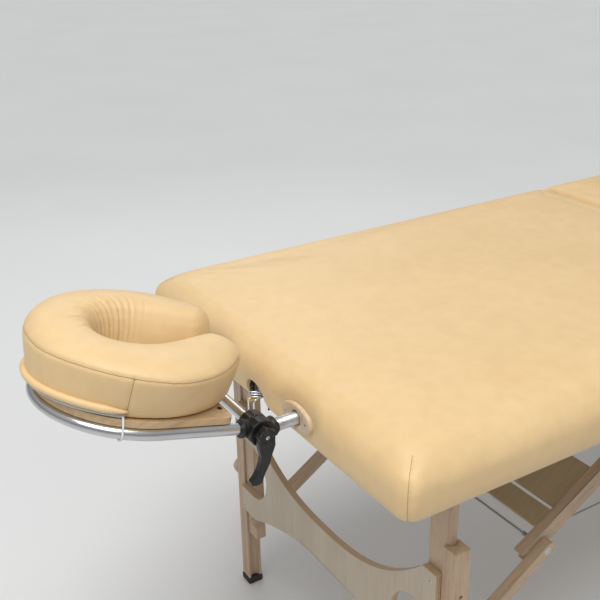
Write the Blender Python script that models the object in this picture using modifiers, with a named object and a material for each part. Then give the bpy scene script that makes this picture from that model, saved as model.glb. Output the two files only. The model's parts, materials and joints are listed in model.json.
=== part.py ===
"""Portable massage table with a face cradle, built as separate parts. Metres, +Z up, head end towards -X."""
import math

import bmesh
import bpy
from mathutils import Matrix, Vector

# Overall sizes
PANEL_LENGTH = 0.913
WIDTH = 0.720
TOP_Z = 0.695
UNDERSIDE_Z = 0.607
CRADLE_REACH = 0.3288
GAP = 0.0003
HEAD_X = (CRADLE_REACH - 2 * PANEL_LENGTH) / 2

# Panels: wooden rails, a plywood deck on them and a foam cushion over both
SIDE_PAD = 0.005
RAIL_THICK = 0.018
RAIL_TOP_Z = 0.651
DECK_THICK = 0.004
SKIN = 0.001
CORNER_RADIUS = 0.030
EDGE_RADIUS = 0.028
RECESS_RADIUS = 0.029
RECESS_DEPTH = 0.018
OVERCUT = 0.010
BLOCK_LENGTH = 0.060
LEG_CHANNEL_Y = (0.2835, 0.320)
LEG_CHANNEL_Z = 0.640

# Folding legs
LEG_U = 0.135
PIVOT_Z = 0.622
LEG_INNER_Y = 0.256
LEG_DEPTH = 0.040
LEG_THICK = 0.020
LEG_BOTTOM_Z = 0.130
LEG_TOP_Z = 0.634
EXTENSION_OUTER_Y = 0.315
EXTENSION_THICK = 0.028
EXTENSION_TOP_Z = 0.480
GROOVE_LIP = 0.0025
FOOT_HEIGHT = 0.014
FOOT_RIM = 0.002
KNOB_Z = 0.262
KNOB_RADIUS = 0.016
KNOB_DEPTH = 0.018
KNOB_ROUND = 0.005
HOLE_COUNT = 7
HOLE_PITCH = 0.028
HOLE_RADIUS = 0.0035

# End panel between the legs of one end
PANEL_THICK = 0.012
PANEL_HALF = 0.2875
PANEL_MID_TOP_Z = 0.325
PANEL_MID_LOW_Z = 0.253
PANEL_LOBE_Y = 0.258
PANEL_LOBE_Z = 0.430
PANEL_TOP_POWER = 2.6
PANEL_FOOT_Y = 0.235
PANEL_FOOT_Z = 0.195
CUT_Y = 0.245
CUT_Z = 0.3035
CUT_RADIUS = 0.057

# Braces: a lower one from the leg to the knee, an upper one from the knee to the panel
LEG_PIN_Z = 0.188
DECK_PIN_U = 0.845
KNEE_LIFT = 0.008
LOWER_WIDTH = 0.020
LOWER_THICK = 0.0174
LOWER_TAIL = 0.025
LOWER_TIP = 0.006
UPPER_BELOW = 0.0095
UPPER_ABOVE = 0.0185
UPPER_THICK = 0.018
UPPER_TAIL = 0.034
NOTCH_RADIUS = 0.008
BOARD_THICK = 0.010
BOARDS = ((0.016, 0.053), (0.060, 0.150))
CABLE_RADIUS = 0.0015
KNEE_CABLE_RADIUS = 0.002
FERRULE_RADIUS = 0.004
FERRULE_LENGTH = 0.018
CABLE_Y = 0.212

# Hinge in the middle
HINGE_Z = 0.6035
HINGE_HALF = 0.300
HINGE_KNUCKLE = 0.0032
HINGE_PIN = 0.0013
LEAF_THICK = 0.0015
LEAF_WIDTH = 0.024

# Face cradle
PRONG_Y = 0.120
PRONG_Z = 0.637
PRONG_RADIUS = 0.0095
PRONG_INSERT = 0.105
GROMMET_HALF_WIDTH = 0.038
GROMMET_HALF_HEIGHT = 0.0225
GROMMET_SIDES = 40
GROMMET_THICK = 0.006
TILT_U = -0.066
TILT_Z = 0.642
TILT_ANGLE = math.radians(15)
TUBE_RADIUS = 0.008
HOOP_RADIUS = 0.120
HOOP_CENTRE = 0.139
CLAMP_RADIUS = 0.020
CLAMP_THICK = 0.019
RIB_COUNT = 12
RIB_DEPTH = 0.0012
SOCKET_RADIUS = 0.0125
SOCKET_REACH = 0.026
SOCKET_STEP = 0.0015
WEB_INSET = 0.002
PLATE_THICK = 0.010
PLATE_REACH = HOOP_RADIUS + 0.002
PLATE_EDGE = 0.037
PLATE_CORNER = 0.012
PLATE_HOLE = 0.058
PLATE_SLOT = 0.036
PAD_CENTRE = 0.134
PAD_OUTER = 0.143
PAD_INNER = 0.056
PAD_HORN = math.radians(40)
PAD_BASE = 0.0185
PAD_HEIGHT = 0.081
LEVER_LENGTH = 0.066
LEVER_THICK = 0.012
LEVER_HUB = 0.0115
LEVER_TIP = 0.007
LEVER_TIP_X = -0.014

# Latch on the head end
BAIL_U = 0.010
BAIL_Z = 0.612
BAIL_HALF = 0.0085
BAIL_DROP = 0.042
BAIL_RADIUS = 0.0013
LATCH_HALF = 0.013
LATCH_HEIGHT = 0.025
LATCH_LUG = 0.003

WOOD = ((0.60, 0.46, 0.31), 0.55, 0.0)
PLYWOOD = ((0.56, 0.45, 0.33), 0.60, 0.0)
LEATHERETTE = ((0.80, 0.60, 0.33), 0.50, 0.0)
STEEL = ((0.62, 0.63, 0.65), 0.30, 1.0)
ALUMINIUM = ((0.75, 0.76, 0.78), 0.22, 1.0)
PLASTIC = ((0.02, 0.02, 0.022), 0.45, 0.0)
RUBBER = ((0.03, 0.03, 0.03), 0.80, 0.0)


class TableEnd:
    """One half of the table. u runs from that half's outer end to the middle."""

    def __init__(self, name, x0, sign):
        self.name = name
        self.x0 = x0
        self.sign = sign

    def x(self, u):
        return self.x0 + self.sign * u

    def upright(self, u, y, z, angle=0.0):
        """Matrix of an upright plane along the table: local X towards the middle, tilted up by the angle."""
        along = Vector((self.sign * math.cos(angle), 0, math.sin(angle)))
        up = Vector((-self.sign * math.sin(angle), 0, math.cos(angle)))
        return frame_matrix((self.x(u), y, z), along, up)


def frame_matrix(origin, x_axis, y_axis):
    matrix = Matrix((x_axis, y_axis, x_axis.cross(y_axis))).transposed().to_4x4()
    matrix.translation = Vector(origin)
    return matrix


def make_collection(name):
    collection = bpy.data.collections.new(name)
    bpy.context.scene.collection.children.link(collection)
    return collection


def paint(obj, look):
    colour, roughness, metallic = look
    material = bpy.data.materials.new(obj.name)
    material.use_nodes = True
    shader = material.node_tree.nodes["Principled BSDF"]
    shader.inputs["Base Color"].default_value = (*colour, 1)
    shader.inputs["Roughness"].default_value = roughness
    shader.inputs["Metallic"].default_value = metallic
    obj.data.materials.append(material)


def add(name, data, look=None, parent=None, matrix=None):
    """Link an object: a part where it has a look, otherwise a cutter."""
    obj = bpy.data.objects.new(name, data)
    (PARTS if look else CUTTERS).objects.link(obj)
    obj.matrix_world = matrix or Matrix.Identity(4)
    if look:
        paint(obj, look)
    else:
        obj.hide_render = True
        obj.display_type = "WIRE"
    if parent:
        obj.parent = parent
        obj.matrix_parent_inverse = parent.matrix_world.inverted()
    return obj


def pivot(name, location, parent=None):
    """An empty on a joint's axis."""
    empty = bpy.data.objects.new(name, None)
    PARTS.objects.link(empty)
    empty.location = location
    bpy.context.view_layer.update()
    if parent:
        empty.parent = parent
        empty.matrix_parent_inverse = parent.matrix_world.inverted()
        bpy.context.view_layer.update()
    return empty


def mesh_from(bm, name):
    mesh = bpy.data.meshes.new(name)
    bm.to_mesh(mesh)
    bm.free()
    return mesh


def box(name, low, high, look=None, parent=None, bevel=0.0):
    low = Vector(low)
    high = Vector(high)
    bm = bmesh.new()
    bmesh.ops.create_cube(bm, size=1, matrix=Matrix.Diagonal((*(high - low), 1)))
    obj = add(name, mesh_from(bm, name), look, parent, Matrix.Translation((low + high) / 2))
    if bevel:
        modifier = obj.modifiers.new("Bevel", "BEVEL")
        modifier.width = bevel
        modifier.segments = 2
    return obj


def rod(name, start, end, radius, look=None, parent=None, sides=24):
    start = Vector(start)
    end = Vector(end)
    bm = bmesh.new()
    bmesh.ops.create_cone(
        bm, cap_ends=True, segments=sides, radius1=radius, radius2=radius, depth=(end - start).length
    )
    turn = Vector((0, 0, 1)).rotation_difference(end - start).to_matrix().to_4x4()
    return add(name, mesh_from(bm, name), look, parent, Matrix.Translation((start + end) / 2) @ turn)


def curve_to_mesh(obj):
    """Swap a curve's data for a welded mesh, keeping the object."""
    bpy.context.view_layer.update()
    evaluated = obj.evaluated_get(bpy.context.evaluated_depsgraph_get())
    mesh = bpy.data.meshes.new_from_object(evaluated)
    bm = bmesh.new()
    bm.from_mesh(mesh)
    bmesh.ops.remove_doubles(bm, verts=bm.verts, dist=0.00001)
    bmesh.ops.recalc_face_normals(bm, faces=bm.faces)
    bm.to_mesh(mesh)
    bm.free()
    return mesh


def curve_data(name, points, cyclic, flat):
    curve = bpy.data.curves.new(name, "CURVE")
    curve.dimensions = "2D" if flat else "3D"
    spline = curve.splines.new("POLY")
    spline.points.add(len(points) - 1)
    for spot, point in zip(spline.points, points):
        spot.co = (*point, 0, 1) if flat else (*point, 1)
    spline.use_cyclic_u = cyclic
    return curve


def solid_from_curve(name, curve, look, parent, matrix):
    carrier = bpy.data.objects.new(name + "_curve", curve)
    bpy.context.scene.collection.objects.link(carrier)
    mesh = curve_to_mesh(carrier)
    bpy.data.objects.remove(carrier)
    return add(name, mesh, look, parent, matrix)


def slab(name, outline, thickness, matrix, look=None, parent=None):
    """A flat outline in the matrix's XY plane, given half its thickness to each side."""
    curve = curve_data(name, outline, True, True)
    curve.fill_mode = "BOTH"
    curve.extrude = thickness / 2
    return solid_from_curve(name, curve, look, parent, matrix)


def tube(name, points, radius, look=None, parent=None, matrix=None, detail=2):
    curve = curve_data(name, points, False, False)
    curve.bevel_depth = radius
    curve.bevel_resolution = detail
    curve.use_fill_caps = True
    return solid_from_curve(name, curve, look, parent, matrix)


def arc(centre, radius, start, end, steps):
    """Points of an arc from one angle to the other, in degrees."""
    spots = []
    for i in range(steps + 1):
        angle = math.radians(start + (end - start) * i / steps)
        spots.append((centre[0] + radius * math.cos(angle), centre[1] + radius * math.sin(angle)))
    return spots


def combine(obj, other, operation="DIFFERENCE"):
    """Apply a Boolean and drop the other solid."""
    modifier = obj.modifiers.new(operation.title(), "BOOLEAN")
    modifier.operation = operation
    modifier.solver = "EXACT"
    modifier.object = other
    bpy.context.view_layer.update()
    mesh = bpy.data.meshes.new_from_object(obj.evaluated_get(bpy.context.evaluated_depsgraph_get()))
    obj.modifiers.remove(modifier)
    obj.data = mesh
    bpy.data.objects.remove(other)


def sides():
    """Near and far side of the table, with the sign of Y."""
    return (("near", -1), ("far", 1))


def y_span(sign, inner, outer):
    """Low and high Y of a stretch given by its distances from the middle."""
    return (-outer, -inner) if sign < 0 else (inner, outer)


def end_box(end, name, u_span, y_pair, z_span, look=None, parent=None, bevel=0.0):
    xs = sorted(end.x(u) for u in u_span)
    low = (xs[0], y_pair[0], z_span[0])
    high = (xs[1], y_pair[1], z_span[1])
    return box(name, low, high, look, parent, bevel)


# --- panels ---

def rounded_plan(length, half_width, radius):
    """Plan of a panel: round corners at its outer end only, local X from that end to the middle."""
    plan = arc((radius, radius - half_width), radius, 270, 180, 6)
    plan += arc((radius, half_width - radius), radius, 180, 90, 6)
    plan += [(length, half_width), (length, -half_width)]
    return plan


def level_slab(end, name, plan, z_low, z_high, look=None, parent=None):
    matrix = Matrix.Translation((end.x(0), 0, (z_low + z_high) / 2))
    flipped = [(end.sign * x, y) for x, y in plan]
    return slab(name, flipped, z_high - z_low, matrix, look, parent)


def wood_plan():
    """Plan of the rails and the deck: inside the padded sides, flush with the cover at the middle."""
    outer = rounded_plan(PANEL_LENGTH - SIDE_PAD - SKIN, WIDTH / 2 - SIDE_PAD, CORNER_RADIUS - SIDE_PAD)
    return [(u + SIDE_PAD, y) for u, y in outer]


def rail_frame(end, parent, with_prongs):
    """Four glued rails in one piece, with hinge blocks for the legs and the upper braces.

    The inner blocks have a channel that a folded leg slides into when it is drawn out.
    """
    name = end.name + "_rail_frame"
    frame = level_slab(end, name, wood_plan(), UNDERSIDE_Z + SKIN, RAIL_TOP_Z, WOOD, parent)
    inside = (SIDE_PAD + RAIL_THICK, PANEL_LENGTH - RAIL_THICK - SIDE_PAD)
    half = WIDTH / 2 - SIDE_PAD - RAIL_THICK
    depth = (UNDERSIDE_Z - OVERCUT, RAIL_TOP_Z + OVERCUT)
    combine(frame, end_box(end, "cavity", inside, (-half, half), depth))
    for side, sign in sides():
        for u, inner in ((LEG_U, LEG_INNER_Y + LEG_DEPTH), (DECK_PIN_U, LEG_INNER_Y - LOWER_THICK)):
            span = (u - BLOCK_LENGTH / 2, u + BLOCK_LENGTH / 2)
            heights = (UNDERSIDE_Z + SKIN, RAIL_TOP_Z)
            block = end_box(end, "block", span, y_span(sign, inner + GAP, half + GAP), heights)
            combine(frame, block, "UNION")
        reach = BLOCK_LENGTH / 2 + OVERCUT
        span = (DECK_PIN_U - reach, DECK_PIN_U + reach)
        channel = (UNDERSIDE_Z - OVERCUT, LEG_CHANNEL_Z)
        combine(frame, end_box(end, "leg_channel", span, y_span(sign, *LEG_CHANNEL_Y), channel))
        if with_prongs:
            start = (end.x(-OVERCUT), sign * PRONG_Y, PRONG_Z)
            stop = (end.x(inside[0] + OVERCUT), sign * PRONG_Y, PRONG_Z)
            combine(frame, rod("bore", start, stop, PRONG_RADIUS + 2 * GAP))
    if with_prongs:
        recess = arc((0, BAIL_Z), RECESS_RADIUS, 0, 180, 12)
        recess += [(-RECESS_RADIUS, UNDERSIDE_Z - OVERCUT), (RECESS_RADIUS, UNDERSIDE_Z - OVERCUT)]
        matrix = frame_matrix((end.x(RECESS_DEPTH / 2), 0, 0), Vector((0, 1, 0)), Vector((0, 0, 1)))
        combine(frame, slab("recess", recess, RECESS_DEPTH + OVERCUT, matrix))
    return frame


def deck_board(end, parent):
    low = RAIL_TOP_Z + GAP
    high = RAIL_TOP_Z + DECK_THICK
    return level_slab(end, end.name + "_deck_board", wood_plan(), low, high, PLYWOOD, parent)


def cushion(end, parent):
    """Foam block with rounded top edges, drawn as a level slab with beveled edges."""
    name = end.name + "_cushion"
    base = RAIL_TOP_Z + DECK_THICK + GAP
    plan = rounded_plan(PANEL_LENGTH - GAP, WIDTH / 2, CORNER_RADIUS)
    block = level_slab(end, name, plan, base, TOP_Z, LEATHERETTE, parent)
    bm = bmesh.new()
    bm.from_mesh(block.data)
    highest = max(v.co.z for v in bm.verts)
    rim = [e for e in bm.edges if all(v.co.z > highest - GAP for v in e.verts) and len(e.link_faces) == 2]
    rim = [e for e in rim if abs(e.calc_face_angle(0)) > math.radians(45)]
    bmesh.ops.bevel(bm, geom=rim, offset=EDGE_RADIUS, segments=4, profile=0.5, affect="EDGES")
    bm.to_mesh(block.data)
    bm.free()
    return block


def grommet(end, side, sign, parent):
    """Oval wooden plate round a prong hole."""
    outline = []
    for i in range(GROMMET_SIDES):
        angle = 2 * math.pi * i / GROMMET_SIDES
        outline.append((GROMMET_HALF_WIDTH * math.cos(angle), GROMMET_HALF_HEIGHT * math.sin(angle)))
    centre = (end.x(-GROMMET_THICK / 2 - GAP), sign * PRONG_Y, PRONG_Z)
    matrix = frame_matrix(centre, Vector((0, 1, 0)), Vector((0, 0, 1)))
    ring = slab("prong_grommet_" + side, outline, GROMMET_THICK, matrix, WOOD, parent)
    hole_start = (end.x(-GROMMET_THICK - OVERCUT), sign * PRONG_Y, PRONG_Z)
    hole_stop = (end.x(OVERCUT), sign * PRONG_Y, PRONG_Z)
    combine(ring, rod("hole", hole_start, hole_stop, PRONG_RADIUS + 2 * GAP))
    return ring


# --- middle hinge ---

def hinge_leaf(end, knuckles, parent):
    """Leaf under the inner rail with knuckles round the hinge pin."""
    name = end.name + "_hinge_leaf"
    heights = (UNDERSIDE_Z + SKIN - GAP - LEAF_THICK, UNDERSIDE_Z + SKIN - GAP)
    span = (PANEL_LENGTH - LEAF_WIDTH, PANEL_LENGTH - 2 * GAP)
    leaf = end_box(end, name, span, (-HINGE_HALF, HINGE_HALF), heights, STEEL, parent)
    middle = end.x(PANEL_LENGTH)
    for low, high in knuckles:
        knuckle = rod("knuckle", (middle, low, HINGE_Z), (middle, high, HINGE_Z), HINGE_KNUCKLE, sides=16)
        web_span = (PANEL_LENGTH - HINGE_KNUCKLE, PANEL_LENGTH - 2 * GAP)
        web = end_box(end, "web", web_span, (low, high), (HINGE_Z, heights[1]))
        combine(knuckle, web, "UNION")
        combine(leaf, knuckle, "UNION")
    reach = HINGE_HALF + OVERCUT
    ends = ((middle, -reach, HINGE_Z), (middle, reach, HINGE_Z))
    combine(leaf, rod("pin_hole", ends[0], ends[1], HINGE_PIN + GAP, sides=16))
    return leaf


def clear_other_knuckles(leaf, end, knuckles):
    """Cut a leaf back where the other leaf's knuckles turn."""
    for low, high in knuckles:
        span = (PANEL_LENGTH - HINGE_KNUCKLE - 2 * GAP, PANEL_LENGTH + OVERCUT)
        room = (low - GAP, high + GAP)
        combine(leaf, end_box(end, "room", span, room, (HINGE_Z - OVERCUT, HINGE_Z + OVERCUT)))


def middle_hinge(head, foot, head_body, foot_body):
    third = HINGE_HALF / 5
    head_knuckles = [(-5 * third, -3 * third), (-third, third), (3 * third, 5 * third)]
    foot_knuckles = [(-3 * third + GAP, -third - GAP), (third + GAP, 3 * third - GAP)]
    leaf = hinge_leaf(head, head_knuckles, head_body)
    clear_other_knuckles(leaf, head, foot_knuckles)
    leaf = hinge_leaf(foot, foot_knuckles, foot_body)
    clear_other_knuckles(leaf, foot, head_knuckles)
    middle = head.x(PANEL_LENGTH)
    ends = ((middle, -HINGE_HALF, HINGE_Z), (middle, HINGE_HALF, HINGE_Z))
    rod("hinge_pin", ends[0], ends[1], HINGE_PIN, STEEL, head_body, 12)


# --- legs ---

def leg(end, side, sign, parent):
    """Upper leg: a bar with a half-round tongue on its outer side."""
    half = LEG_THICK / 2
    outer = LEG_INNER_Y + LEG_DEPTH
    outline = [(half, sign * LEG_INNER_Y), (-half, sign * LEG_INNER_Y)]
    outline += [(x, sign * y) for x, y in arc((0, outer - half), half, 180, 0, 10)]
    middle = (LEG_TOP_Z + LEG_BOTTOM_Z) / 2
    matrix = Matrix.Translation((end.x(LEG_U), 0, middle))
    return slab(f"{end.name}_leg_{side}", outline, LEG_TOP_Z - LEG_BOTTOM_Z, matrix, WOOD, parent)


def leg_extension(end, side, sign, parent):
    """Sliding lower leg, grooved to fit round the tongue, with a row of height holes."""
    half = EXTENSION_THICK / 2
    tongue = LEG_THICK / 2
    centre = LEG_INNER_Y + LEG_DEPTH - tongue
    start = math.degrees(math.asin(GROOVE_LIP / (tongue + GAP)))
    groove = arc((0, centre), tongue + GAP, 180 - start, start, 10)
    outline = [(-half, EXTENSION_OUTER_Y), (-half, centre + GROOVE_LIP)] + groove
    outline += [(half, centre + GROOVE_LIP), (half, EXTENSION_OUTER_Y)]
    outline = [(x, sign * y) for x, y in outline]
    height = EXTENSION_TOP_Z - FOOT_HEIGHT - GAP
    matrix = Matrix.Translation((end.x(LEG_U), 0, EXTENSION_TOP_Z - height / 2))
    bar = slab(f"{end.name}_extension_{side}", outline, height, matrix, WOOD, parent)
    for step in range(-1, HOLE_COUNT - 1):
        z = KNOB_Z + step * HOLE_PITCH
        start = (end.x(LEG_U), sign * LEG_INNER_Y, z)
        stop = (end.x(LEG_U), sign * (EXTENSION_OUTER_Y + OVERCUT), z)
        combine(bar, rod("height_hole", start, stop, HOLE_RADIUS, sides=10))
    return bar


def rubber_foot(end, side, sign, parent):
    half = EXTENSION_THICK / 2 + FOOT_RIM
    inner = LEG_INNER_Y + LEG_DEPTH - LEG_THICK / 2
    span = (LEG_U - half, LEG_U + half)
    ys = y_span(sign, inner, EXTENSION_OUTER_Y + FOOT_RIM)
    name = f"{end.name}_foot_{side}"
    return end_box(end, name, span, ys, (0, FOOT_HEIGHT), RUBBER, parent, bevel=0.003)


def turned(name, profile, look, parent, matrix, steps=24):
    """A turned solid: the profile runs down the outer side, as radius and height on the local Z axis."""
    bm = bmesh.new()
    previous = None
    for radius, height in profile:
        vert = bm.verts.new((radius, 0, height))
        if previous:
            bm.edges.new((previous, vert))
        previous = vert
    obj = add(name, mesh_from(bm, name), look, parent, matrix)
    modifier = obj.modifiers.new("Screw", "SCREW")
    modifier.axis = "Z"
    modifier.steps = steps
    modifier.render_steps = steps
    modifier.use_merge_vertices = True
    modifier.merge_threshold = 0.0001
    return obj


def knob(end, side, sign, parent):
    """Wooden nut that clamps the extension to the leg."""
    base = EXTENSION_OUTER_Y + GAP
    core = KNOB_RADIUS - KNOB_ROUND
    top_edge = arc((core, KNOB_DEPTH - KNOB_ROUND), KNOB_ROUND, 90, 0, 3)
    low_edge = arc((core, KNOB_ROUND), KNOB_ROUND, 0, -90, 3)
    profile = [(0, KNOB_DEPTH)] + top_edge + low_edge + [(0, 0)]
    outward = Vector((0, sign, 0))
    across = Vector((1, 0, 0))
    matrix = frame_matrix((end.x(LEG_U), sign * base, KNOB_Z), across, outward.cross(across))
    return turned(f"{end.name}_knob_{side}", profile, WOOD, parent, matrix)


def end_panel(end, parent):
    """Shaped plywood panel across the head-side faces of a pair of legs."""
    edge = []
    top_steps = 14
    for i in range(top_steps + 1):
        share = i / top_steps
        rise = (PANEL_LOBE_Z - PANEL_MID_TOP_Z) * share**PANEL_TOP_POWER
        edge.append((PANEL_LOBE_Y * share, PANEL_MID_TOP_Z + rise))
    edge += [(PANEL_HALF, PANEL_LOBE_Z), (PANEL_HALF, CUT_Z + CUT_RADIUS)]
    edge += arc((CUT_Y, CUT_Z), CUT_RADIUS, 90, 270, 16)
    edge += [(PANEL_HALF, CUT_Z - CUT_RADIUS), (PANEL_HALF, PANEL_FOOT_Z)]
    low_steps = 8
    for i in range(low_steps):
        share = 1 - i / low_steps
        drop = (PANEL_MID_LOW_Z - PANEL_FOOT_Z) * share**2
        edge.append((PANEL_FOOT_Y * share, PANEL_MID_LOW_Z - drop))
    low_middle = [(0, PANEL_MID_LOW_Z)]
    outline = edge + low_middle + [(-y, z) for y, z in reversed(edge[1:])]
    back = LEG_U - LEG_THICK / 2 - GAP
    matrix = frame_matrix((end.x(back - PANEL_THICK / 2), 0, 0), Vector((0, 1, 0)), Vector((0, 0, 1)))
    return slab(end.name + "_end_panel", outline, PANEL_THICK, matrix, PLYWOOD, parent)


# --- braces ---

def knee_place():
    """The knee in panel coordinates (u, z), and the slopes of the lower and upper brace.

    The two brace lengths are chosen so that the linkage lies flat when the leg is folded.
    """
    leg_pin = Vector((LEG_U, LEG_PIN_Z))
    deck_pin = Vector((DECK_PIN_U, PIVOT_Z))
    span = (deck_pin - leg_pin).length
    folded = DECK_PIN_U - LEG_U - (PIVOT_Z - LEG_PIN_Z)
    lower = (span - folded) / 2
    along = (deck_pin - leg_pin).normalized()
    lift = Vector((-along.y, along.x)) * KNEE_LIFT
    knee = leg_pin + along * lower + lift
    down = knee - leg_pin
    up = deck_pin - knee
    return knee, math.atan2(down.y, down.x), math.atan2(up.y, up.x)


def lower_brace(end, side, sign, parent):
    """Bar from the leg pin to the knee: square past the leg, round at the knee."""
    knee, slope, _ = knee_place()
    length = (knee - Vector((LEG_U, LEG_PIN_Z))).length
    half = LOWER_WIDTH / 2
    outline = [(-LOWER_TAIL, half), (-LOWER_TAIL, -half)]
    outline += arc((length + LOWER_TIP, 0), half, -90, 90, 10)
    middle_y = sign * (LEG_INNER_Y - GAP - LOWER_THICK / 2)
    matrix = end.upright(LEG_U, middle_y, LEG_PIN_Z, slope)
    bar = slab(f"{end.name}_lower_brace_{side}", outline, LOWER_THICK, matrix, WOOD, parent)
    for spot in (0, length):
        centre = matrix @ Vector((spot, 0, 0))
        reach = Vector((0, LOWER_THICK, 0))
        combine(bar, rod("pin_hole", centre - reach, centre + reach, HOLE_RADIUS, sides=12))
    return bar


def upper_brace(end, side, sign, parent):
    """Bar from the knee to the panel: notched at the knee, round at the panel."""
    knee, _, slope = knee_place()
    length = (Vector((DECK_PIN_U, PIVOT_Z)) - knee).length
    outline = [(-UPPER_TAIL, UPPER_ABOVE)]
    outline += arc((-UPPER_TAIL, (UPPER_ABOVE - UPPER_BELOW) / 2), NOTCH_RADIUS, 90, -90, 8)
    outline += [(-UPPER_TAIL, -UPPER_BELOW)]
    outline += arc((length, 0), UPPER_BELOW, -90, 0, 5)
    outline += arc((length - (UPPER_ABOVE - UPPER_BELOW), 0), UPPER_ABOVE, 0, 90, 6)
    middle_y = sign * (LEG_INNER_Y - LOWER_THICK - 2 * GAP - GAP - UPPER_THICK / 2)
    matrix = end.upright(knee.x, middle_y, knee.y, slope)
    bar = slab(f"{end.name}_upper_brace_{side}", outline, UPPER_THICK, matrix, WOOD, parent)
    for spot in (0, length):
        centre = matrix @ Vector((spot, 0, 0))
        reach = Vector((0, UPPER_THICK, 0))
        combine(bar, rod("pin_hole", centre - reach, centre + reach, HOLE_RADIUS, sides=12))
    return bar


def brace_inner_y():
    return LEG_INNER_Y - LOWER_THICK - 3 * GAP - UPPER_THICK


def cross_board(end, index, start, stop, parent):
    """Plywood slat between the two upper braces, flush with their top edges."""
    knee, _, slope = knee_place()
    half = brace_inner_y() - GAP
    level = UPPER_ABOVE - BOARD_THICK / 2
    matrix = end.upright(knee.x, 0, knee.y, slope)
    outline = [(start, level - BOARD_THICK / 2), (stop, level - BOARD_THICK / 2)]
    outline += [(stop, level + BOARD_THICK / 2), (start, level + BOARD_THICK / 2)]
    return slab(f"{end.name}_cross_board_{index}", outline, 2 * half, matrix, PLYWOOD, parent)


def knee_cable(end, parent):
    """Steel cable between the two knees, with a ferrule at each end."""
    knee, _, _ = knee_place()
    half = brace_inner_y() - GAP
    neck = half - FERRULE_LENGTH
    upper = [(0, half), (FERRULE_RADIUS, half), (FERRULE_RADIUS, neck)]
    upper.append((KNEE_CABLE_RADIUS, neck - FERRULE_RADIUS))
    profile = upper + [(radius, -height) for radius, height in reversed(upper)]
    matrix = frame_matrix((end.x(knee.x), 0, knee.y), Vector((0, 0, 1)), Vector((1, 0, 0)))
    return turned(end.name + "_knee_cable", profile, STEEL, parent, matrix, 12)


def long_cable(end, side, sign, parent):
    """Half of the steel cable that runs from knee to knee along the table."""
    knee, _, _ = knee_place()
    start = (end.x(knee.x + FERRULE_RADIUS + GAP), sign * CABLE_Y, knee.y)
    stop = (end.x(PANEL_LENGTH - GAP / 2), sign * CABLE_Y, knee.y)
    return tube(f"{end.name}_cable_{side}", [start, stop], CABLE_RADIUS, STEEL, parent, detail=1)


def leg_set(end, body):
    """Everything that folds under one panel."""
    knee, _, _ = knee_place()
    legs = pivot(end.name + "_leg_pivot", (end.x(LEG_U), 0, PIVOT_Z), body)
    lower = pivot(end.name + "_lower_pivot", (end.x(LEG_U), 0, LEG_PIN_Z), legs)
    upper = pivot(end.name + "_upper_pivot", (end.x(DECK_PIN_U), 0, PIVOT_Z), body)
    cables = pivot(end.name + "_cable_pivot", (end.x(knee.x), 0, knee.y), upper)
    end_panel(end, legs)
    for side, sign in sides():
        leg(end, side, sign, legs)
        place = (end.x(LEG_U), sign * EXTENSION_OUTER_Y, KNOB_Z)
        stem = pivot(f"{end.name}_extension_slide_{side}", place, legs)
        leg_extension(end, side, sign, stem)
        rubber_foot(end, side, sign, stem)
        knob(end, side, sign, legs)
        lower_brace(end, side, sign, lower)
        upper_brace(end, side, sign, upper)
        long_cable(end, side, sign, cables)
    for index, (start, stop) in enumerate(BOARDS, 1):
        cross_board(end, index, start, stop, upper)
    knee_cable(end, upper)


# --- face cradle ---

def cradle_matrix(along, across, up):
    """Matrix of a point on the cradle's tilted plane: away from the table, sideways, and above the plane."""
    away = Vector((-math.cos(TILT_ANGLE), 0, math.sin(TILT_ANGLE)))
    sideways = Vector((0, -1, 0))
    normal = away.cross(sideways)
    centre = Vector((HEAD_X + TILT_U, 0, TILT_Z)) + away * along + sideways * across + normal * up
    return frame_matrix(centre, away, sideways)


def tooth_disc(name, sign, inner, outer, look=None, parent=None):
    """Half of a tilt clamp: a disc round the tilt axis with a ribbed rim."""
    groove = CLAMP_RADIUS - RIB_DEPTH
    rib = ((0.0, CLAMP_RADIUS), (0.62, CLAMP_RADIUS), (0.70, groove), (0.92, groove))
    rim = []
    for i in range(RIB_COUNT):
        for share, radius in rib:
            angle = 2 * math.pi * (i + share) / RIB_COUNT
            rim.append((radius * math.cos(angle), radius * math.sin(angle)))
    low, high = y_span(sign, inner, outer)
    place = (HEAD_X + TILT_U, (low + high) / 2, TILT_Z)
    matrix = frame_matrix(place, Vector((1, 0, 0)), Vector((0, 0, 1)))
    return slab(name, rim, outer - inner, matrix, look, parent)


def clamp_half(name, side_sign, inner, outer, direction, parent):
    """A tilt clamp half: ribbed disc, web and the socket that holds a tube end on the prong's line."""
    body = tooth_disc(name, side_sign, inner, outer, PLASTIC, parent)
    axis = Vector((HEAD_X + TILT_U, side_sign * PRONG_Y, TILT_Z))
    first = axis + direction * (CLAMP_RADIUS + SOCKET_STEP)
    last = axis + direction * SOCKET_REACH
    socket = rod("socket", first, last, SOCKET_RADIUS, sides=20)
    up = Vector((0, 1, 0)).cross(direction)
    web_outline = [(0, -SOCKET_RADIUS), (SOCKET_REACH, -SOCKET_RADIUS)]
    web_outline += [(along, -across) for along, across in reversed(web_outline)]
    middle = Vector((axis.x, side_sign * (inner + outer) / 2, TILT_Z))
    web = slab("web", web_outline, outer - inner - WEB_INSET, frame_matrix(middle, direction, up))
    combine(socket, web, "UNION")
    combine(body, socket, "UNION")
    return body


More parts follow.
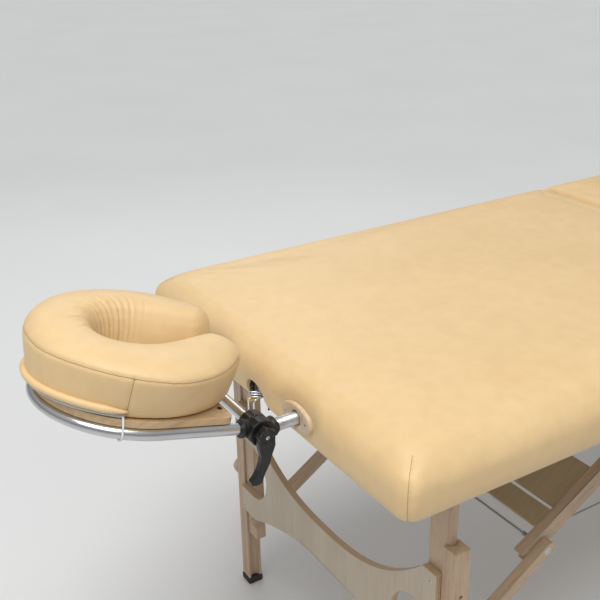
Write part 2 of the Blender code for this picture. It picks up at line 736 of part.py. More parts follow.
def cradle_base(body):
    """Prongs with the table-side clamp halves. They slide out of the table together."""
    base = pivot("cradle_slide", (HEAD_X, 0, PRONG_Z), body)
    towards_table = Vector((1, 0, 0))
    for side, sign in sides():
        inner = PRONG_Y + GAP
        clamp_half("base_clamp_" + side, sign, inner, PRONG_Y + CLAMP_THICK, towards_table, base)
        start = (HEAD_X + TILT_U + SOCKET_REACH + GAP, sign * PRONG_Y, PRONG_Z)
        stop = (HEAD_X + PRONG_INSERT, sign * PRONG_Y, PRONG_Z)
        rod("prong_" + side, start, stop, PRONG_RADIUS, ALUMINIUM, base)
    return base


def lever(parent):
    """Clamping lever on the near side, hanging down."""
    hub = pivot("lever_pivot", (HEAD_X + TILT_U, -(PRONG_Y + CLAMP_THICK), TILT_Z), parent)
    outline = arc((0, 0), LEVER_HUB, -30, 210, 14)
    outline += [(-0.0065, -0.020), (-0.0055, -0.038), (-0.010, -0.052)]
    outline += arc((LEVER_TIP_X, LEVER_TIP - LEVER_LENGTH), LEVER_TIP, 170, 330, 8)
    outline += [(0.0065, -0.052), (0.0085, -0.036), (0.0095, -0.018)]
    middle = -(PRONG_Y + CLAMP_THICK + GAP + LEVER_THICK / 2)
    matrix = frame_matrix((HEAD_X + TILT_U, middle, TILT_Z), Vector((1, 0, 0)), Vector((0, 0, 1)))
    return slab("clamp_lever", outline, LEVER_THICK, matrix, PLASTIC, hub)


def platform_outline():
    """Crescent plate: round away from the table, open towards it."""
    outer = [(PLATE_EDGE, PLATE_SLOT)]
    outer += arc((PLATE_EDGE + PLATE_CORNER, PLATE_REACH - PLATE_CORNER), PLATE_CORNER, 180, 90, 4)
    outer += arc((HOOP_CENTRE, 0), PLATE_REACH, 90, 0, 12)
    hole_start = math.degrees(math.asin(PLATE_SLOT / PLATE_HOLE))
    inner = arc((HOOP_CENTRE, 0), PLATE_HOLE, 180 - hole_start, 0, 10)
    far_half = outer + [(along, -across) for along, across in reversed(outer[:-1])]
    return far_half + [(along, -across) for along, across in inner[:-1]] + list(reversed(inner))


def pad_outline():
    """Crescent cushion: a ring open towards the table, with round horn ends."""
    centre = (PAD_CENTRE, 0)
    opening = 180 - math.degrees(PAD_HORN)
    middle = (PAD_OUTER + PAD_INNER) / 2
    cap = (PAD_OUTER - PAD_INNER) / 2
    horn = (PAD_CENTRE - middle * math.cos(PAD_HORN), middle * math.sin(PAD_HORN))
    outline = arc(centre, PAD_OUTER, -opening, opening, 28)
    outline += arc(horn, cap, opening, opening + 180, 8)[1:]
    outline += arc(centre, PAD_INNER, opening, -opening, 18)[1:]
    low_horn = (horn[0], -horn[1])
    outline += arc(low_horn, cap, 180 - opening, 360 - opening, 8)[1:-1]
    return outline


def cradle_hoop(base):
    """The tilting part: hoop tube, its clamp halves, the cross tube, platform and pad."""
    tilt = pivot("cradle_tilt", (HEAD_X + TILT_U, 0, TILT_Z), base)
    away = Vector((-math.cos(TILT_ANGLE), 0, math.sin(TILT_ANGLE)))
    inner = PRONG_Y - CLAMP_THICK
    for side, sign in sides():
        clamp_half("hoop_clamp_" + side, sign, inner, PRONG_Y - GAP, away, tilt)
    cross_half = inner - GAP
    ends = [(HEAD_X + TILT_U, y, TILT_Z) for y in (-cross_half, cross_half)]
    rod("cross_tube", ends[0], ends[1], TUBE_RADIUS, ALUMINIUM, tilt)
    start = SOCKET_REACH + GAP
    path = [(start, -HOOP_RADIUS, 0)]
    path += [(s, y, 0) for s, y in arc((HOOP_CENTRE, 0), HOOP_RADIUS, -90, 90, 22)]
    path += [(start, HOOP_RADIUS, 0)]
    tube("hoop_tube", path, TUBE_RADIUS, ALUMINIUM, tilt, cradle_matrix(0, 0, 0), 3)
    plate_mid = TUBE_RADIUS + GAP + PLATE_THICK / 2
    slab("platform", platform_outline(), PLATE_THICK, cradle_matrix(0, 0, plate_mid), PLYWOOD, tilt)
    pad_mid = PAD_BASE + PAD_HEIGHT / 2
    slab("face_pad", pad_outline(), PAD_HEIGHT, cradle_matrix(0, 0, pad_mid), LEATHERETTE, tilt)


# --- latch ---

def latch(head, body):
    """Plate in the end recess and the wire bail that hangs from it."""
    back = RECESS_DEPTH + SIDE_PAD - GAP
    low = BAIL_Z - LATCH_LUG
    width = (-LATCH_HALF, LATCH_HALF)
    heights = (low, low + LATCH_HEIGHT)
    plate = end_box(head, "latch_plate", (back - LEAF_THICK, back), width, heights, STEEL, body)
    for sign in (-1, 1):
        lug_y = y_span(sign, LATCH_HALF - LEAF_THICK, LATCH_HALF)
        lug = end_box(head, "lug", (BAIL_U - LATCH_LUG, back), lug_y, (low, BAIL_Z + LATCH_LUG))
        combine(plate, lug, "UNION")
    hang = pivot("latch_pivot", (head.x(BAIL_U), 0, BAIL_Z), body)
    bottom = BAIL_Z - BAIL_DROP
    half_wire = [(-BAIL_HALF, BAIL_Z), (-BAIL_HALF, bottom + LATCH_LUG), (LATCH_LUG - BAIL_HALF, bottom)]
    wire = half_wire + [(-y, z) for y, z in reversed(half_wire)]
    tube("latch_bail", [(head.x(BAIL_U), y, z) for y, z in wire], BAIL_RADIUS, STEEL, hang, detail=1)


def build():
    head = TableEnd("head", HEAD_X, 1)
    foot = TableEnd("foot", HEAD_X + 2 * PANEL_LENGTH, -1)
    head_body = pivot("head_panel", (head.x(PANEL_LENGTH), 0, HINGE_Z))
    foot_body = pivot("foot_panel", (head.x(PANEL_LENGTH), 0, HINGE_Z), head_body)
    for end, body in ((head, head_body), (foot, foot_body)):
        rail_frame(end, body, end is head)
        deck_board(end, body)
        cushion(end, body)
        leg_set(end, body)
    middle_hinge(head, foot, head_body, foot_body)
    for side, sign in sides():
        grommet(head, side, sign, head_body)
    latch(head, head_body)
    base = cradle_base(head_body)
    lever(base)
    cradle_hoop(base)


for old in list(bpy.data.objects):
    bpy.data.objects.remove(old)
PARTS = make_collection("massage_table")
CUTTERS = make_collection("cutters")
build()
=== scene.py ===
"""Looks of a portable massage table with a face cradle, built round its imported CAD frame. Metres, +Z up."""
import json
import math

import bmesh
import bpy
import numpy as np
from mathutils import Matrix, Vector
from mathutils.bvhtree import BVHTree
from mathutils.kdtree import KDTree


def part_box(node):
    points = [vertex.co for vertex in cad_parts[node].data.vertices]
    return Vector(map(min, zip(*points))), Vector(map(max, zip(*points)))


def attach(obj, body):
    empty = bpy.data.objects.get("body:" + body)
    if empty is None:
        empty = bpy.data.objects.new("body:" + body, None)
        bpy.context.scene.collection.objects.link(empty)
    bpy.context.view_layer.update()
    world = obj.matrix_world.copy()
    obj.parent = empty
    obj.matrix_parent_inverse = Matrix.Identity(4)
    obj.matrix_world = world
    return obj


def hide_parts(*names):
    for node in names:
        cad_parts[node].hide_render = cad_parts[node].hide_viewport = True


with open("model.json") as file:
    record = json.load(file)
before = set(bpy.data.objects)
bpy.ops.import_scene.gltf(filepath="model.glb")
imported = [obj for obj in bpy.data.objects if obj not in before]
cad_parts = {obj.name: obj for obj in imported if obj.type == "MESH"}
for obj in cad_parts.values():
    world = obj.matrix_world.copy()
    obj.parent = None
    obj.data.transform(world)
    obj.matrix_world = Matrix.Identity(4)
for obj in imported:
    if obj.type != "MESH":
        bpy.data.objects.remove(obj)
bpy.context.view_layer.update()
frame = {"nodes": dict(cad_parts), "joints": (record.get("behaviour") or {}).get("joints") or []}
NODES = frame["nodes"]
JOINTS = {joint["name"]: joint for joint in frame["joints"]}

# --- places read from the frame ---

HEAD_LOW, HEAD_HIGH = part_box("head_cushion")
FOOT_LOW, FOOT_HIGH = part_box("foot_cushion")
RAIL_LOW, RAIL_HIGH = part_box("head_rail_frame")
HEAD_X = HEAD_LOW.x
FOOT_X = FOOT_HIGH.x
MIDDLE_X = JOINTS["centre_fold"]["pos_m"][0]
HALF_WIDTH = HEAD_HIGH.y
TOP_Z = HEAD_HIGH.z
COVER_LOW_Z = RAIL_LOW.z - 0.009
TILT_PLACE = Vector(JOINTS["cradle_tilt"]["pos_m"])
TILT = math.radians(15)
AWAY = Vector((-math.cos(TILT), 0, math.sin(TILT)))
ABOVE = Vector((math.sin(TILT), 0, math.cos(TILT)))
SIDES = (("near", -1), ("far", 1))
ENDS = (("head", HEAD_X, 1), ("foot", FOOT_X, -1))
LATCH_Z = JOINTS["bail_swing"]["pos_m"][2]
SHARP = math.radians(50)
QUARTER = math.pi / 2
BRACE_SLOPES = {"lower": math.radians(33.08), "upper": math.radians(30.61)}


def cradle_point(along, across, up):
    """A point of the cradle: distance from the tilt axis along its plane, sideways, and above the plane."""
    return TILT_PLACE + AWAY * along + Vector((0, across, 0)) + ABOVE * up


# --- materials ---

PLY_LAYERS = 0.0032


class Shade:
    """A node material under construction."""

    def __init__(self, name):
        self.material = bpy.data.materials.new(name)
        self.material.use_nodes = True
        self.nodes = self.material.node_tree.nodes
        self.links = self.material.node_tree.links
        self.shader = self.nodes["Principled BSDF"]
        self.place = None

    def set(self, socket, value):
        self.shader.inputs[socket].default_value = value

    def feed(self, socket, source):
        self.links.new(source, self.shader.inputs[socket])

    def node(self, kind, inputs=None, **settings):
        made = self.nodes.new(kind)
        for key, value in settings.items():
            setattr(made, key, value)
        for key, value in (inputs or {}).items():
            if isinstance(value, bpy.types.NodeSocket):
                self.links.new(value, made.inputs[key])
            else:
                made.inputs[key].default_value = value
        return made

    def spot(self, scale=(1, 1, 1), turn=(0, 0, 0)):
        """Object coordinates, turned and stretched."""
        if self.place is None:
            self.place = self.node("ShaderNodeTexCoord").outputs["Object"]
        turned = self.node("ShaderNodeMapping", {"Vector": self.place, "Rotation": turn})
        return self.node("ShaderNodeMapping", {"Vector": turned.outputs[0], "Scale": scale}).outputs[0]

    def noise(self, scale, detail=3.0, roughness=0.5, spot=None):
        where = spot or self.spot()
        inputs = {"Vector": where, "Scale": scale, "Detail": detail, "Roughness": roughness}
        return self.node("ShaderNodeTexNoise", inputs).outputs["Fac"]

    def ramp(self, source, stops):
        made = self.node("ShaderNodeValToRGB", {"Fac": source})
        points = made.color_ramp.elements
        while len(points) < len(stops):
            points.new(0.5)
        for point, (position, colour) in zip(points, stops):
            point.position = position
            point.color = (*colour, 1) if len(colour) == 3 else colour
        return made.outputs["Color"]

    def range(self, source, low, high, from_low=0.0, from_high=1.0):
        limits = {"From Min": from_low, "From Max": from_high, "To Min": low, "To Max": high}
        return self.node("ShaderNodeMapRange", {"Value": source, **limits}).outputs[0]

    def mix(self, share, first, second, kind="MIX"):
        made = self.node("ShaderNodeMix", data_type="RGBA", blend_type=kind)
        for key, value in ((0, share), (6, first), (7, second)):
            if isinstance(value, bpy.types.NodeSocket):
                self.links.new(value, made.inputs[key])
            elif key:
                made.inputs[key].default_value = (*value, 1)
            else:
                made.inputs[key].default_value = value
        return made.outputs[2]

    def bump(self, *layers):
        """Bump from (height source, strength, distance) layers, one on the other."""
        normal = None
        for height, strength, distance in layers:
            inputs = {"Height": height, "Strength": strength, "Distance": distance}
            if normal is not None:
                inputs["Normal"] = normal
            normal = self.node("ShaderNodeBump", inputs).outputs[0]
        self.feed("Normal", normal)


def leatherette(name, light, deep):
    """Soft upholstery vinyl: fine pebble grain, faint blotches and slightly deeper tone in broad patches."""
    shade = Shade(name)
    broad = shade.noise(5.0, 3.0)
    patch = shade.noise(45.0, 4.0)
    tone = shade.ramp(broad, ((0.3, deep), (0.7, light)))
    speck = shade.ramp(patch, ((0.35, (0.96, 0.95, 0.93)), (0.65, (1.0, 1.0, 1.0))))
    shade.feed("Base Color", shade.mix(1.0, tone, speck, "MULTIPLY"))
    where = {"Vector": shade.spot(), "Scale": 900.0}
    cells = shade.node("ShaderNodeTexVoronoi", where, feature="DISTANCE_TO_EDGE")
    grain = shade.range(cells.outputs["Distance"], 0.0, 1.0, 0.0, 0.25)
    fine = shade.noise(2200.0, 2.0)
    slack = shade.noise(14.0, 2.0)
    shade.bump((slack, 0.25, 0.004), (grain, 0.28, 0.00012), (fine, 0.2, 0.00006))
    shade.feed("Roughness", shade.range(patch, 0.40, 0.52))
    shade.set("Specular IOR Level", 0.42)
    shade.set("Sheen Weight", 0.12)
    shade.set("Sheen Roughness", 0.45)
    shade.set("Sheen Tint", (1.0, 0.9, 0.72, 1.0))
    return shade.material


def wood(name, turn=(0, 0, 0), light=(0.530, 0.405, 0.285), deep=(0.405, 0.290, 0.195)):
    """Pale beech with its grain along the turned X axis: streaks, short flecks and fine pores."""
    shade = Shade(name)
    streak = shade.noise(22.0, 5.0, 0.6, shade.spot((0.35, 7.0, 7.0), turn))
    band = shade.noise(5.0, 3.0, 0.5, shade.spot((0.5, 5.0, 5.0), turn))
    fleck = shade.noise(240.0, 2.0, 0.4, shade.spot((0.25, 3.0, 3.0), turn))
    base = shade.ramp(streak, ((0.28, deep), (0.5, light), (0.75, tuple(min(1, c * 1.14) for c in light))))
    warm = shade.ramp(band, ((0.35, (1.0, 0.92, 0.86)), (0.65, (1.0, 1.0, 1.0))))
    marks = shade.ramp(fleck, ((0.30, (0.78, 0.70, 0.62)), (0.40, (1.0, 1.0, 1.0))))
    coloured = shade.mix(1.0, base, warm, "MULTIPLY")
    shade.feed("Base Color", shade.mix(0.75, coloured, marks, "MULTIPLY"))
    shade.feed("Roughness", shade.range(streak, 0.46, 0.60))
    shade.bump((streak, 0.18, 0.0006), (fleck, 0.22, 0.0002))
    shade.set("Specular IOR Level", 0.40)
    shade.set("Coat Weight", 0.10)
    shade.set("Coat Roughness", 0.35)
    return shade.material


def plywood(name, turn, light=(0.560, 0.480, 0.375), deep=(0.500, 0.420, 0.320)):
    """Birch plywood whose sheets lie across the turned Z axis: calm faces and layered orange-brown edges."""
    shade = Shade(name)
    figure = shade.noise(4.0, 5.0, 0.55, shade.spot((1.0, 6.0, 1.0), turn))
    line = shade.noise(70.0, 3.0, 0.5, shade.spot((0.25, 6.0, 1.0), turn))
    face = shade.ramp(figure, ((0.3, deep), (0.7, light)))
    pores = shade.ramp(line, ((0.30, (0.88, 0.85, 0.80)), (0.50, (1.0, 1.0, 1.0))))
    face = shade.mix(0.8, face, pores, "MULTIPLY")
    across = shade.node("ShaderNodeSeparateXYZ", {"Vector": shade.spot((1, 1, 1), turn)}).outputs["Z"]
    pitch = {0: across, 1: 2 * math.pi / PLY_LAYERS}
    layer = shade.node("ShaderNodeMath", pitch, operation="MULTIPLY").outputs[0]
    wave = shade.node("ShaderNodeMath", {0: layer}, operation="SINE").outputs[0]
    layers = ((0.35, (0.42, 0.28, 0.16)), (0.65, (0.60, 0.46, 0.31)))
    edge = shade.ramp(shade.range(wave, 0.0, 1.0, -1.0, 1.0), layers)
    facing = shade.node("ShaderNodeTexCoord").outputs["Normal"]
    facing = shade.node("ShaderNodeMapping", {"Vector": facing, "Rotation": turn}).outputs[0]
    flat = shade.node("ShaderNodeSeparateXYZ", {"Vector": facing}).outputs["Z"]
    flat = shade.node("ShaderNodeMath", {0: flat}, operation="ABSOLUTE").outputs[0]
    share = shade.range(flat, 0.0, 1.0, 0.72, 0.90)
    shade.feed("Base Color", shade.mix(share, edge, face))
    shade.feed("Roughness", shade.range(line, 0.45, 0.60))
    shade.bump((line, 0.12, 0.0003), (wave, 0.05, 0.0002))
    shade.set("Specular IOR Level", 0.40)
    shade.set("Coat Weight", 0.12)
    shade.set("Coat Roughness", 0.30)
    return shade.material


def metal(name, colour, low_rough, high_rough, brush=(1, 1, 1), strength=0.04):
    """Bare metal with fine draw marks and uneven polish."""
    shade = Shade(name)
    marks = shade.noise(600.0, 3.0, 0.5, shade.spot(brush))
    cloud = shade.noise(30.0, 3.0)
    dark = tuple(c * 0.90 for c in colour)
    shade.feed("Base Color", shade.ramp(cloud, ((0.35, dark), (0.65, colour))))
    shade.feed("Roughness", shade.range(marks, low_rough, high_rough))
    shade.set("Metallic", 1.0)
    shade.bump((marks, strength, 0.0001))
    return shade.material


def moulded_plastic(name, colour):
    """Black moulded nylon: fine erosion texture and a little dust-grey variation."""
    shade = Shade(name)
    erosion = shade.noise(1400.0, 2.0)
    cloud = shade.noise(60.0, 3.0)
    pale = tuple(c * 1.9 + 0.004 for c in colour)
    shade.feed("Base Color", shade.ramp(cloud, ((0.35, colour), (0.75, pale))))
    shade.feed("Roughness", shade.range(cloud, 0.34, 0.50))
    shade.bump((erosion, 0.30, 0.00015))
    shade.set("Specular IOR Level", 0.5)
    return shade.material


def rubber(name):
    shade = Shade(name)
    dust = shade.noise(120.0, 4.0)
    shade.feed("Base Color", shade.ramp(dust, ((0.4, (0.018, 0.018, 0.019)), (0.7, (0.050, 0.048, 0.046)))))
    shade.feed("Roughness", shade.range(dust, 0.62, 0.85))
    shade.bump((dust, 0.25, 0.0003))
    return shade.material


def woven(name, light, dark, pitch):
    """Small plain weave for tape and elastic."""
    shade = Shade(name)
    where = {"Vector": shade.spot(), "Scale": 1 / pitch}
    weft = shade.node("ShaderNodeTexWave", where, wave_type="BANDS", bands_direction="X")
    warp = shade.node("ShaderNodeTexWave", where, wave_type="BANDS", bands_direction="Z")
    weave = shade.mix(0.5, weft.outputs["Color"], warp.outputs["Color"])
    shade.feed("Base Color", shade.ramp(weave, ((0.2, dark), (0.8, light))))
    shade.bump((weave, 0.4, 0.0002))
    shade.set("Roughness", 0.85)
    return shade.material


def floor_material():
    shade = Shade("floor")
    cloud = shade.noise(1.5, 2.0)
    shade.feed("Base Color", shade.ramp(cloud, ((0.3, (0.70, 0.71, 0.72)), (0.7, (0.72, 0.73, 0.74)))))
    shade.set("Roughness", 0.9)
    return shade.material


VINYL = leatherette("leatherette", (0.790, 0.575, 0.308), (0.745, 0.530, 0.272))
THREAD = leatherette("thread", (0.680, 0.470, 0.225), (0.640, 0.430, 0.200))
SEAM_SHADOW = leatherette("seam_shadow", (0.430, 0.285, 0.135), (0.380, 0.245, 0.110))
WOOD_X = wood("hardwood_rails")
WOOD_Z = wood("hardwood_legs", (0, QUARTER, 0))
WOOD_Y = wood("hardwood_turned", (0, 0, QUARTER), (0.62, 0.47, 0.34), (0.50, 0.36, 0.25))
PLY_X = plywood("plywood_upright", (0, QUARTER, 0))
PLY_DECK = plywood("plywood_level", (0, 0, 0))
STEEL = metal("zinc_steel", (0.60, 0.61, 0.62), 0.22, 0.38)
CHROME = metal("chrome", (0.80, 0.81, 0.83), 0.06, 0.14)
CABLE_STEEL = metal("cable_steel", (0.42, 0.42, 0.43), 0.30, 0.45, strength=0.3)
# Near-black steel: the own colour of dark fittings, and also painted shade in the screws' cross recesses.
DARK_STEEL_AND_SHADE = metal("dark_steel_and_shade", (0.045, 0.046, 0.048), 0.35, 0.50)
GROMMET_WOOD = wood("hardwood_grommet", (0, QUARTER, 0), (0.640, 0.520, 0.360), (0.560, 0.440, 0.290))
PLATFORM_WOOD = wood("platform_wood", (0, TILT, 0), (0.560, 0.420, 0.255), (0.470, 0.335, 0.190))
BRASS = metal("brass", (0.75, 0.52, 0.22), 0.25, 0.40)
ALUMINIUM = metal("aluminium_tube", (0.62, 0.62, 0.63), 0.16, 0.28, (0.05, 3, 3))
PRONG_METAL = metal("aluminium_prong", (0.66, 0.66, 0.67), 0.26, 0.46, (1, 1, 1), 0.35)
CLAMP_PLASTIC = moulded_plastic("clamp_plastic", (0.0045, 0.0045, 0.0050))
# Black rubber of the feet, also used as painted shade lining the latch recess.
FOOT_RUBBER_AND_RECESS_SHADE = rubber("foot_rubber")
TAPE = woven("zipper_tape", (0.74, 0.73, 0.70), (0.58, 0.57, 0.55), 0.0012)
ZIPPER = moulded_plastic("zipper", (0.36, 0.35, 0.33))
ELASTIC = woven("white_elastic", (0.86, 0.86, 0.84), (0.66, 0.66, 0.64), 0.0008)


# --- the CAD nodes that stay in sight ---

def finish_node(name, material, bevel=0.0):
    """Give a CAD node its material, welded smooth shading and softened edges."""
    obj = NODES[name]
    obj.data.materials.clear()
    obj.data.materials.append(material)
    obj.modifiers.new("Weld", "WELD").merge_threshold = 0.00001
    if bevel:
        soften = obj.modifiers.new("Bevel", "BEVEL")
        soften.width = bevel
        soften.segments = 3
        soften.limit_method = "ANGLE"
        soften.angle_limit = SHARP


def dress_frame():
    """Finish every frame node that no finer piece stands for."""
    for end, _, sign in ENDS:
        slopes = {kind: (0, sign * slope, 0) for kind, slope in BRACE_SLOPES.items()}
        # The cross boards under the table get the plywood's own colour darkened and browned: painted shade.
        shaded_boards = plywood(f"plywood_{end}_boards", slopes["upper"], (0.52, 0.41, 0.26), (0.44, 0.33, 0.20))
        finish_node(f"{end}_rail_frame", WOOD_X)
        finish_node(f"{end}_deck_board", PLY_DECK)
        finish_node(f"{end}_end_panel", PLY_X, 0.0008)
        finish_node(f"{end}_hinge_leaf", STEEL)
        finish_node(f"{end}_knee_cable", CABLE_STEEL)
        for index in (1, 2):
            finish_node(f"{end}_cross_board_{index}", shaded_boards, 0.001)
        for kind, slope in slopes.items():
            grain = wood(f"hardwood_{end}_{kind}", slope)
            for side, _ in SIDES:
                finish_node(f"{end}_{kind}_brace_{side}", grain, 0.0012)
        for side, _ in SIDES:
            finish_node(f"{end}_leg_{side}", WOOD_Z, 0.0012)
            finish_node(f"{end}_extension_{side}", WOOD_Z, 0.0022)
            finish_node(f"{end}_foot_{side}", FOOT_RUBBER_AND_RECESS_SHADE)
            finish_node(f"{end}_knob_{side}", WOOD_Y)
            finish_node(f"{end}_cable_{side}", CABLE_STEEL)
    finish_node("hinge_pin", STEEL)
    finish_node("platform", PLATFORM_WOOD, 0.0012)


# --- mesh work ---

CLOTH_PRESSURE = 4.0
CLOTH_FRAMES = 20


def add_mesh(name, mesh, materials=()):
    for material in materials:
        mesh.materials.append(material)
    obj = bpy.data.objects.new(name, mesh)
    bpy.context.scene.collection.objects.link(obj)
    return obj


def cover_with(obj, material):
    """Give a shaped piece its one material and smooth shading."""
    obj.data.materials.clear()
    obj.data.materials.append(material)
    obj.data.polygons.foreach_set("use_smooth", [True] * len(obj.data.polygons))


def turns(count, start=0.0):
    """Angles of evenly spaced points round a full circle."""
    return [2 * math.pi * (k + start) / count for k in range(count)]


def bridge(bm, rings, around=True, along=False, caps=False):
    """Join neighbouring rings of points with faces; a ring of one point is a pole."""
    for first, second in zip(rings, rings[1:] + (rings[:1] if along else [])):
        count = max(len(first), len(second))
        for k in range(count if around else count - 1):
            j = (k + 1) % count
            low = (first[k % len(first)], first[j % len(first)])
            high = (second[j % len(second)], second[k % len(second)])
            corners = tuple(dict.fromkeys(low + high))
            if len(corners) > 2:
                bm.faces.new(corners)
    if caps:
        bm.faces.new(rings[0][::-1])
        bm.faces.new(rings[-1])


def mesh_of(bm, name, smooth=True):
    bmesh.ops.recalc_face_normals(bm, faces=bm.faces)
    mesh = bpy.data.meshes.new(name)
    bm.to_mesh(mesh)
    bm.free()
    mesh.polygons.foreach_set("use_smooth", [smooth] * len(mesh.polygons))
    return mesh


def settle(obj):
    """Apply the object's modifiers to its mesh."""
    bpy.context.view_layer.update()
    evaluated = obj.evaluated_get(bpy.context.evaluated_depsgraph_get())
    mesh = bpy.data.meshes.new_from_object(evaluated)
    obj.modifiers.clear()
    obj.data = mesh
    return obj


def remesh(obj, voxel):
    made = obj.modifiers.new("Remesh", "REMESH")
    made.mode = "VOXEL"
    made.voxel_size = voxel
    made.use_smooth_shade = True
    return settle(obj)


def subdivide(obj):
    obj.modifiers.new("Subdivision", "SUBSURF").levels = 1
    return settle(obj)


def points_of(mesh):
    spots = np.zeros(len(mesh.vertices) * 3, np.float32)
    mesh.vertices.foreach_get("co", spots)
    return spots.reshape(-1, 3).astype(float)


def normals_of(mesh):
    found = np.zeros(len(mesh.vertices) * 3, np.float32)
    mesh.vertices.foreach_get("normal", found)
    return found.reshape(-1, 3).astype(float)


def put_points(mesh, spots):
    mesh.vertices.foreach_set("co", spots.astype(np.float32).ravel())
    mesh.update()


def inflate(obj, held, cap):
    """Blow the closed mesh up as cloth. held says how firmly each point stays, and cap how far one moves."""
    rest = points_of(obj.data)
    facing = normals_of(obj.data)
    group = obj.vertex_groups.new(name="held")
    for index in np.nonzero(held > 0.01)[0]:
        group.add([int(index)], float(held[index]), "REPLACE")
    cloth = obj.modifiers.new("Cloth", "CLOTH")
    cloth.settings.quality = 6
    cloth.settings.mass = 0.3
    cloth.settings.tension_stiffness = 20
    cloth.settings.compression_stiffness = 20
    cloth.settings.shear_stiffness = 8
    cloth.settings.bending_stiffness = 2
    cloth.settings.use_pressure = True
    cloth.settings.uniform_pressure_force = CLOTH_PRESSURE
    cloth.settings.effector_weights.gravity = 0
    cloth.settings.vertex_group_mass = "held"
    cloth.collision_settings.use_collision = False
    cloth.point_cache.frame_start = 1
    cloth.point_cache.frame_end = CLOTH_FRAMES
    for frame_number in range(1, CLOTH_FRAMES + 1):
        bpy.context.scene.frame_set(frame_number)
    evaluated = obj.evaluated_get(bpy.context.evaluated_depsgraph_get())
    moved = points_of(evaluated.data) - rest
    obj.modifiers.remove(cloth)
    obj.vertex_groups.clear()
    bpy.context.scene.frame_set(1)
    outward = np.sum(moved * facing, axis=1)
    moved -= np.minimum(outward, 0)[:, None] * facing
    reach = np.linalg.norm(moved, axis=1)
    moved *= (cap * np.tanh(reach / cap) / np.maximum(reach, 1e-9))[:, None]
    put_points(obj.data, rest + moved)


def smooth_step(low, high, value):
    share = np.clip((value - low) / (high - low), 0, 1)
    return share * share * (3 - 2 * share)


def dense_line(points, gap):
    """The polyline through the points, with even steps."""
    spots = [Vector(p) for p in points]
    made = [spots[0]]
    for first, second in zip(spots, spots[1:]):
        steps = max(1, round((second - first).length / gap))
        made += [first.lerp(second, i / steps) for i in range(1, steps + 1)]
    return made


def snapped(obj, points):
    """The points moved onto the object's surface, each with the surface normal there."""
    tree = BVHTree.FromObject(obj, bpy.context.evaluated_depsgraph_get())
    found = [tree.find_nearest(point) for point in points]
    return [(hit[0], hit[1]) for hit in found]


def crease(obj, points, width, depth):
    """Press a groove of the given half width and depth into the object's surface along the points."""
    tree = KDTree(len(points))
    for i, point in enumerate(points):
        tree.insert(point, i)
    tree.balance()
    spots = points_of(obj.data)
    facing = normals_of(obj.data)
    away = np.array([tree.find(spot)[2] for spot in spots])
    spots -= facing * (depth * np.exp(-((away / width) ** 2)))[:, None]
    put_points(obj.data, spots)


def tube_mesh(name, spots, radius, material, sides=10, radii=None):
    """Round rod along the spots; radii scales it point by point."""
    bm = bmesh.new()
    rings = []
    normal = (spots[1] - spots[0]).normalized().orthogonal().normalized()
    for i, spot in enumerate(spots):
        ahead = (spots[min(i + 1, len(spots) - 1)] - spots[max(i - 1, 0)]).normalized()
        normal = (normal - ahead * normal.dot(ahead)).normalized()
        side = ahead.cross(normal)
        size = radius * (radii[i] if radii else 1)
        rings.append([
            bm.verts.new(spot + (normal * math.cos(angle) + side * math.sin(angle)) * size)
            for angle in turns(sides)
        ])
    bridge(bm, rings, caps=True)
    return add_mesh(name, mesh_of(bm, name), [material])


def sew(obj, name, points, body, radius=0.0006, width=0.0035, depth=0.0014, stitch=None):
    """A seam: a groove along the points, a thin dark line in it and, beside it, short stitches."""
    line = dense_line(points, 0.002)
    crease(obj, line, width, depth)
    laid = snapped(obj, line)
    rod = tube_mesh(name, [spot - normal * radius * 0.35 for spot, normal in laid], radius, SEAM_SHADOW, 6)
    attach(rod, body)
    if not stitch:
        return
    offset, length, gap = stitch
    bm = bmesh.new()
    travel = 0.0
    last = laid[0][0]
    for i in range(1, len(laid) - 1):
        spot, normal = laid[i]
        travel += (spot - last).length
        last = spot
        if travel < gap:
            continue
        travel = 0.0
        ahead = (laid[i + 1][0] - laid[i - 1][0]).normalized()
        side = normal.cross(ahead).normalized()
        turn = Matrix((ahead, side, normal)).transposed().to_4x4()
        place = Matrix.Translation(spot + side * offset + normal * 0.0001) @ turn
        shape = Matrix.Diagonal((length / 2, 0.0004, 0.0003, 1))
        bmesh.ops.create_icosphere(bm, subdivisions=1, radius=1, matrix=place @ shape)
    threads = add_mesh(name + "_stitches", mesh_of(bm, name + "_stitches"), [THREAD])
    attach(threads, body)


# --- table covers ---

COVER_SIDE = (
    (0.0085, 0.0), (0.0045, 0.0025), (0.0022, 0.007), (0.0002, 0.014), (-0.0012, 0.024), (-0.0015, 0.034),
)
COVER_VOXEL = 0.008
COVER_CAP = 0.0065
SIDE_BULGE = 0.0055
BULGE_FADE_Z = (0.650, 0.688)
SHOULDER_IN = 0.046
SHOULDER_DOWN = 0.044
HEM = 0.030


def plan_loop(inset):
    """Plan of the cover in panel coordinates, drawn in: round at the outer end, nearly square inside."""
    length = HEAD_HIGH.x - HEAD_LOW.x
    low_u, high_u = inset, length - max(0.002, min(inset, SHOULDER_IN) * 0.45)
    half = HALF_WIDTH - inset
    corner = 0.012 + max(inset, 0)
    tight = 0.010
    loop = []
    for centre_u, centre_y, radius, start in (
        (low_u + corner, -half + corner, corner, 180),
        (high_u - tight, -half + tight, tight, 270),
        (high_u - tight, half - tight, tight, 0),
        (low_u + corner, half - corner, corner, 90),
    ):
        for step in range(9):
            angle = math.radians(start + 90 * step / 8)
            loop.append((centre_u + radius * math.cos(angle), centre_y + radius * math.sin(angle)))
    return loop


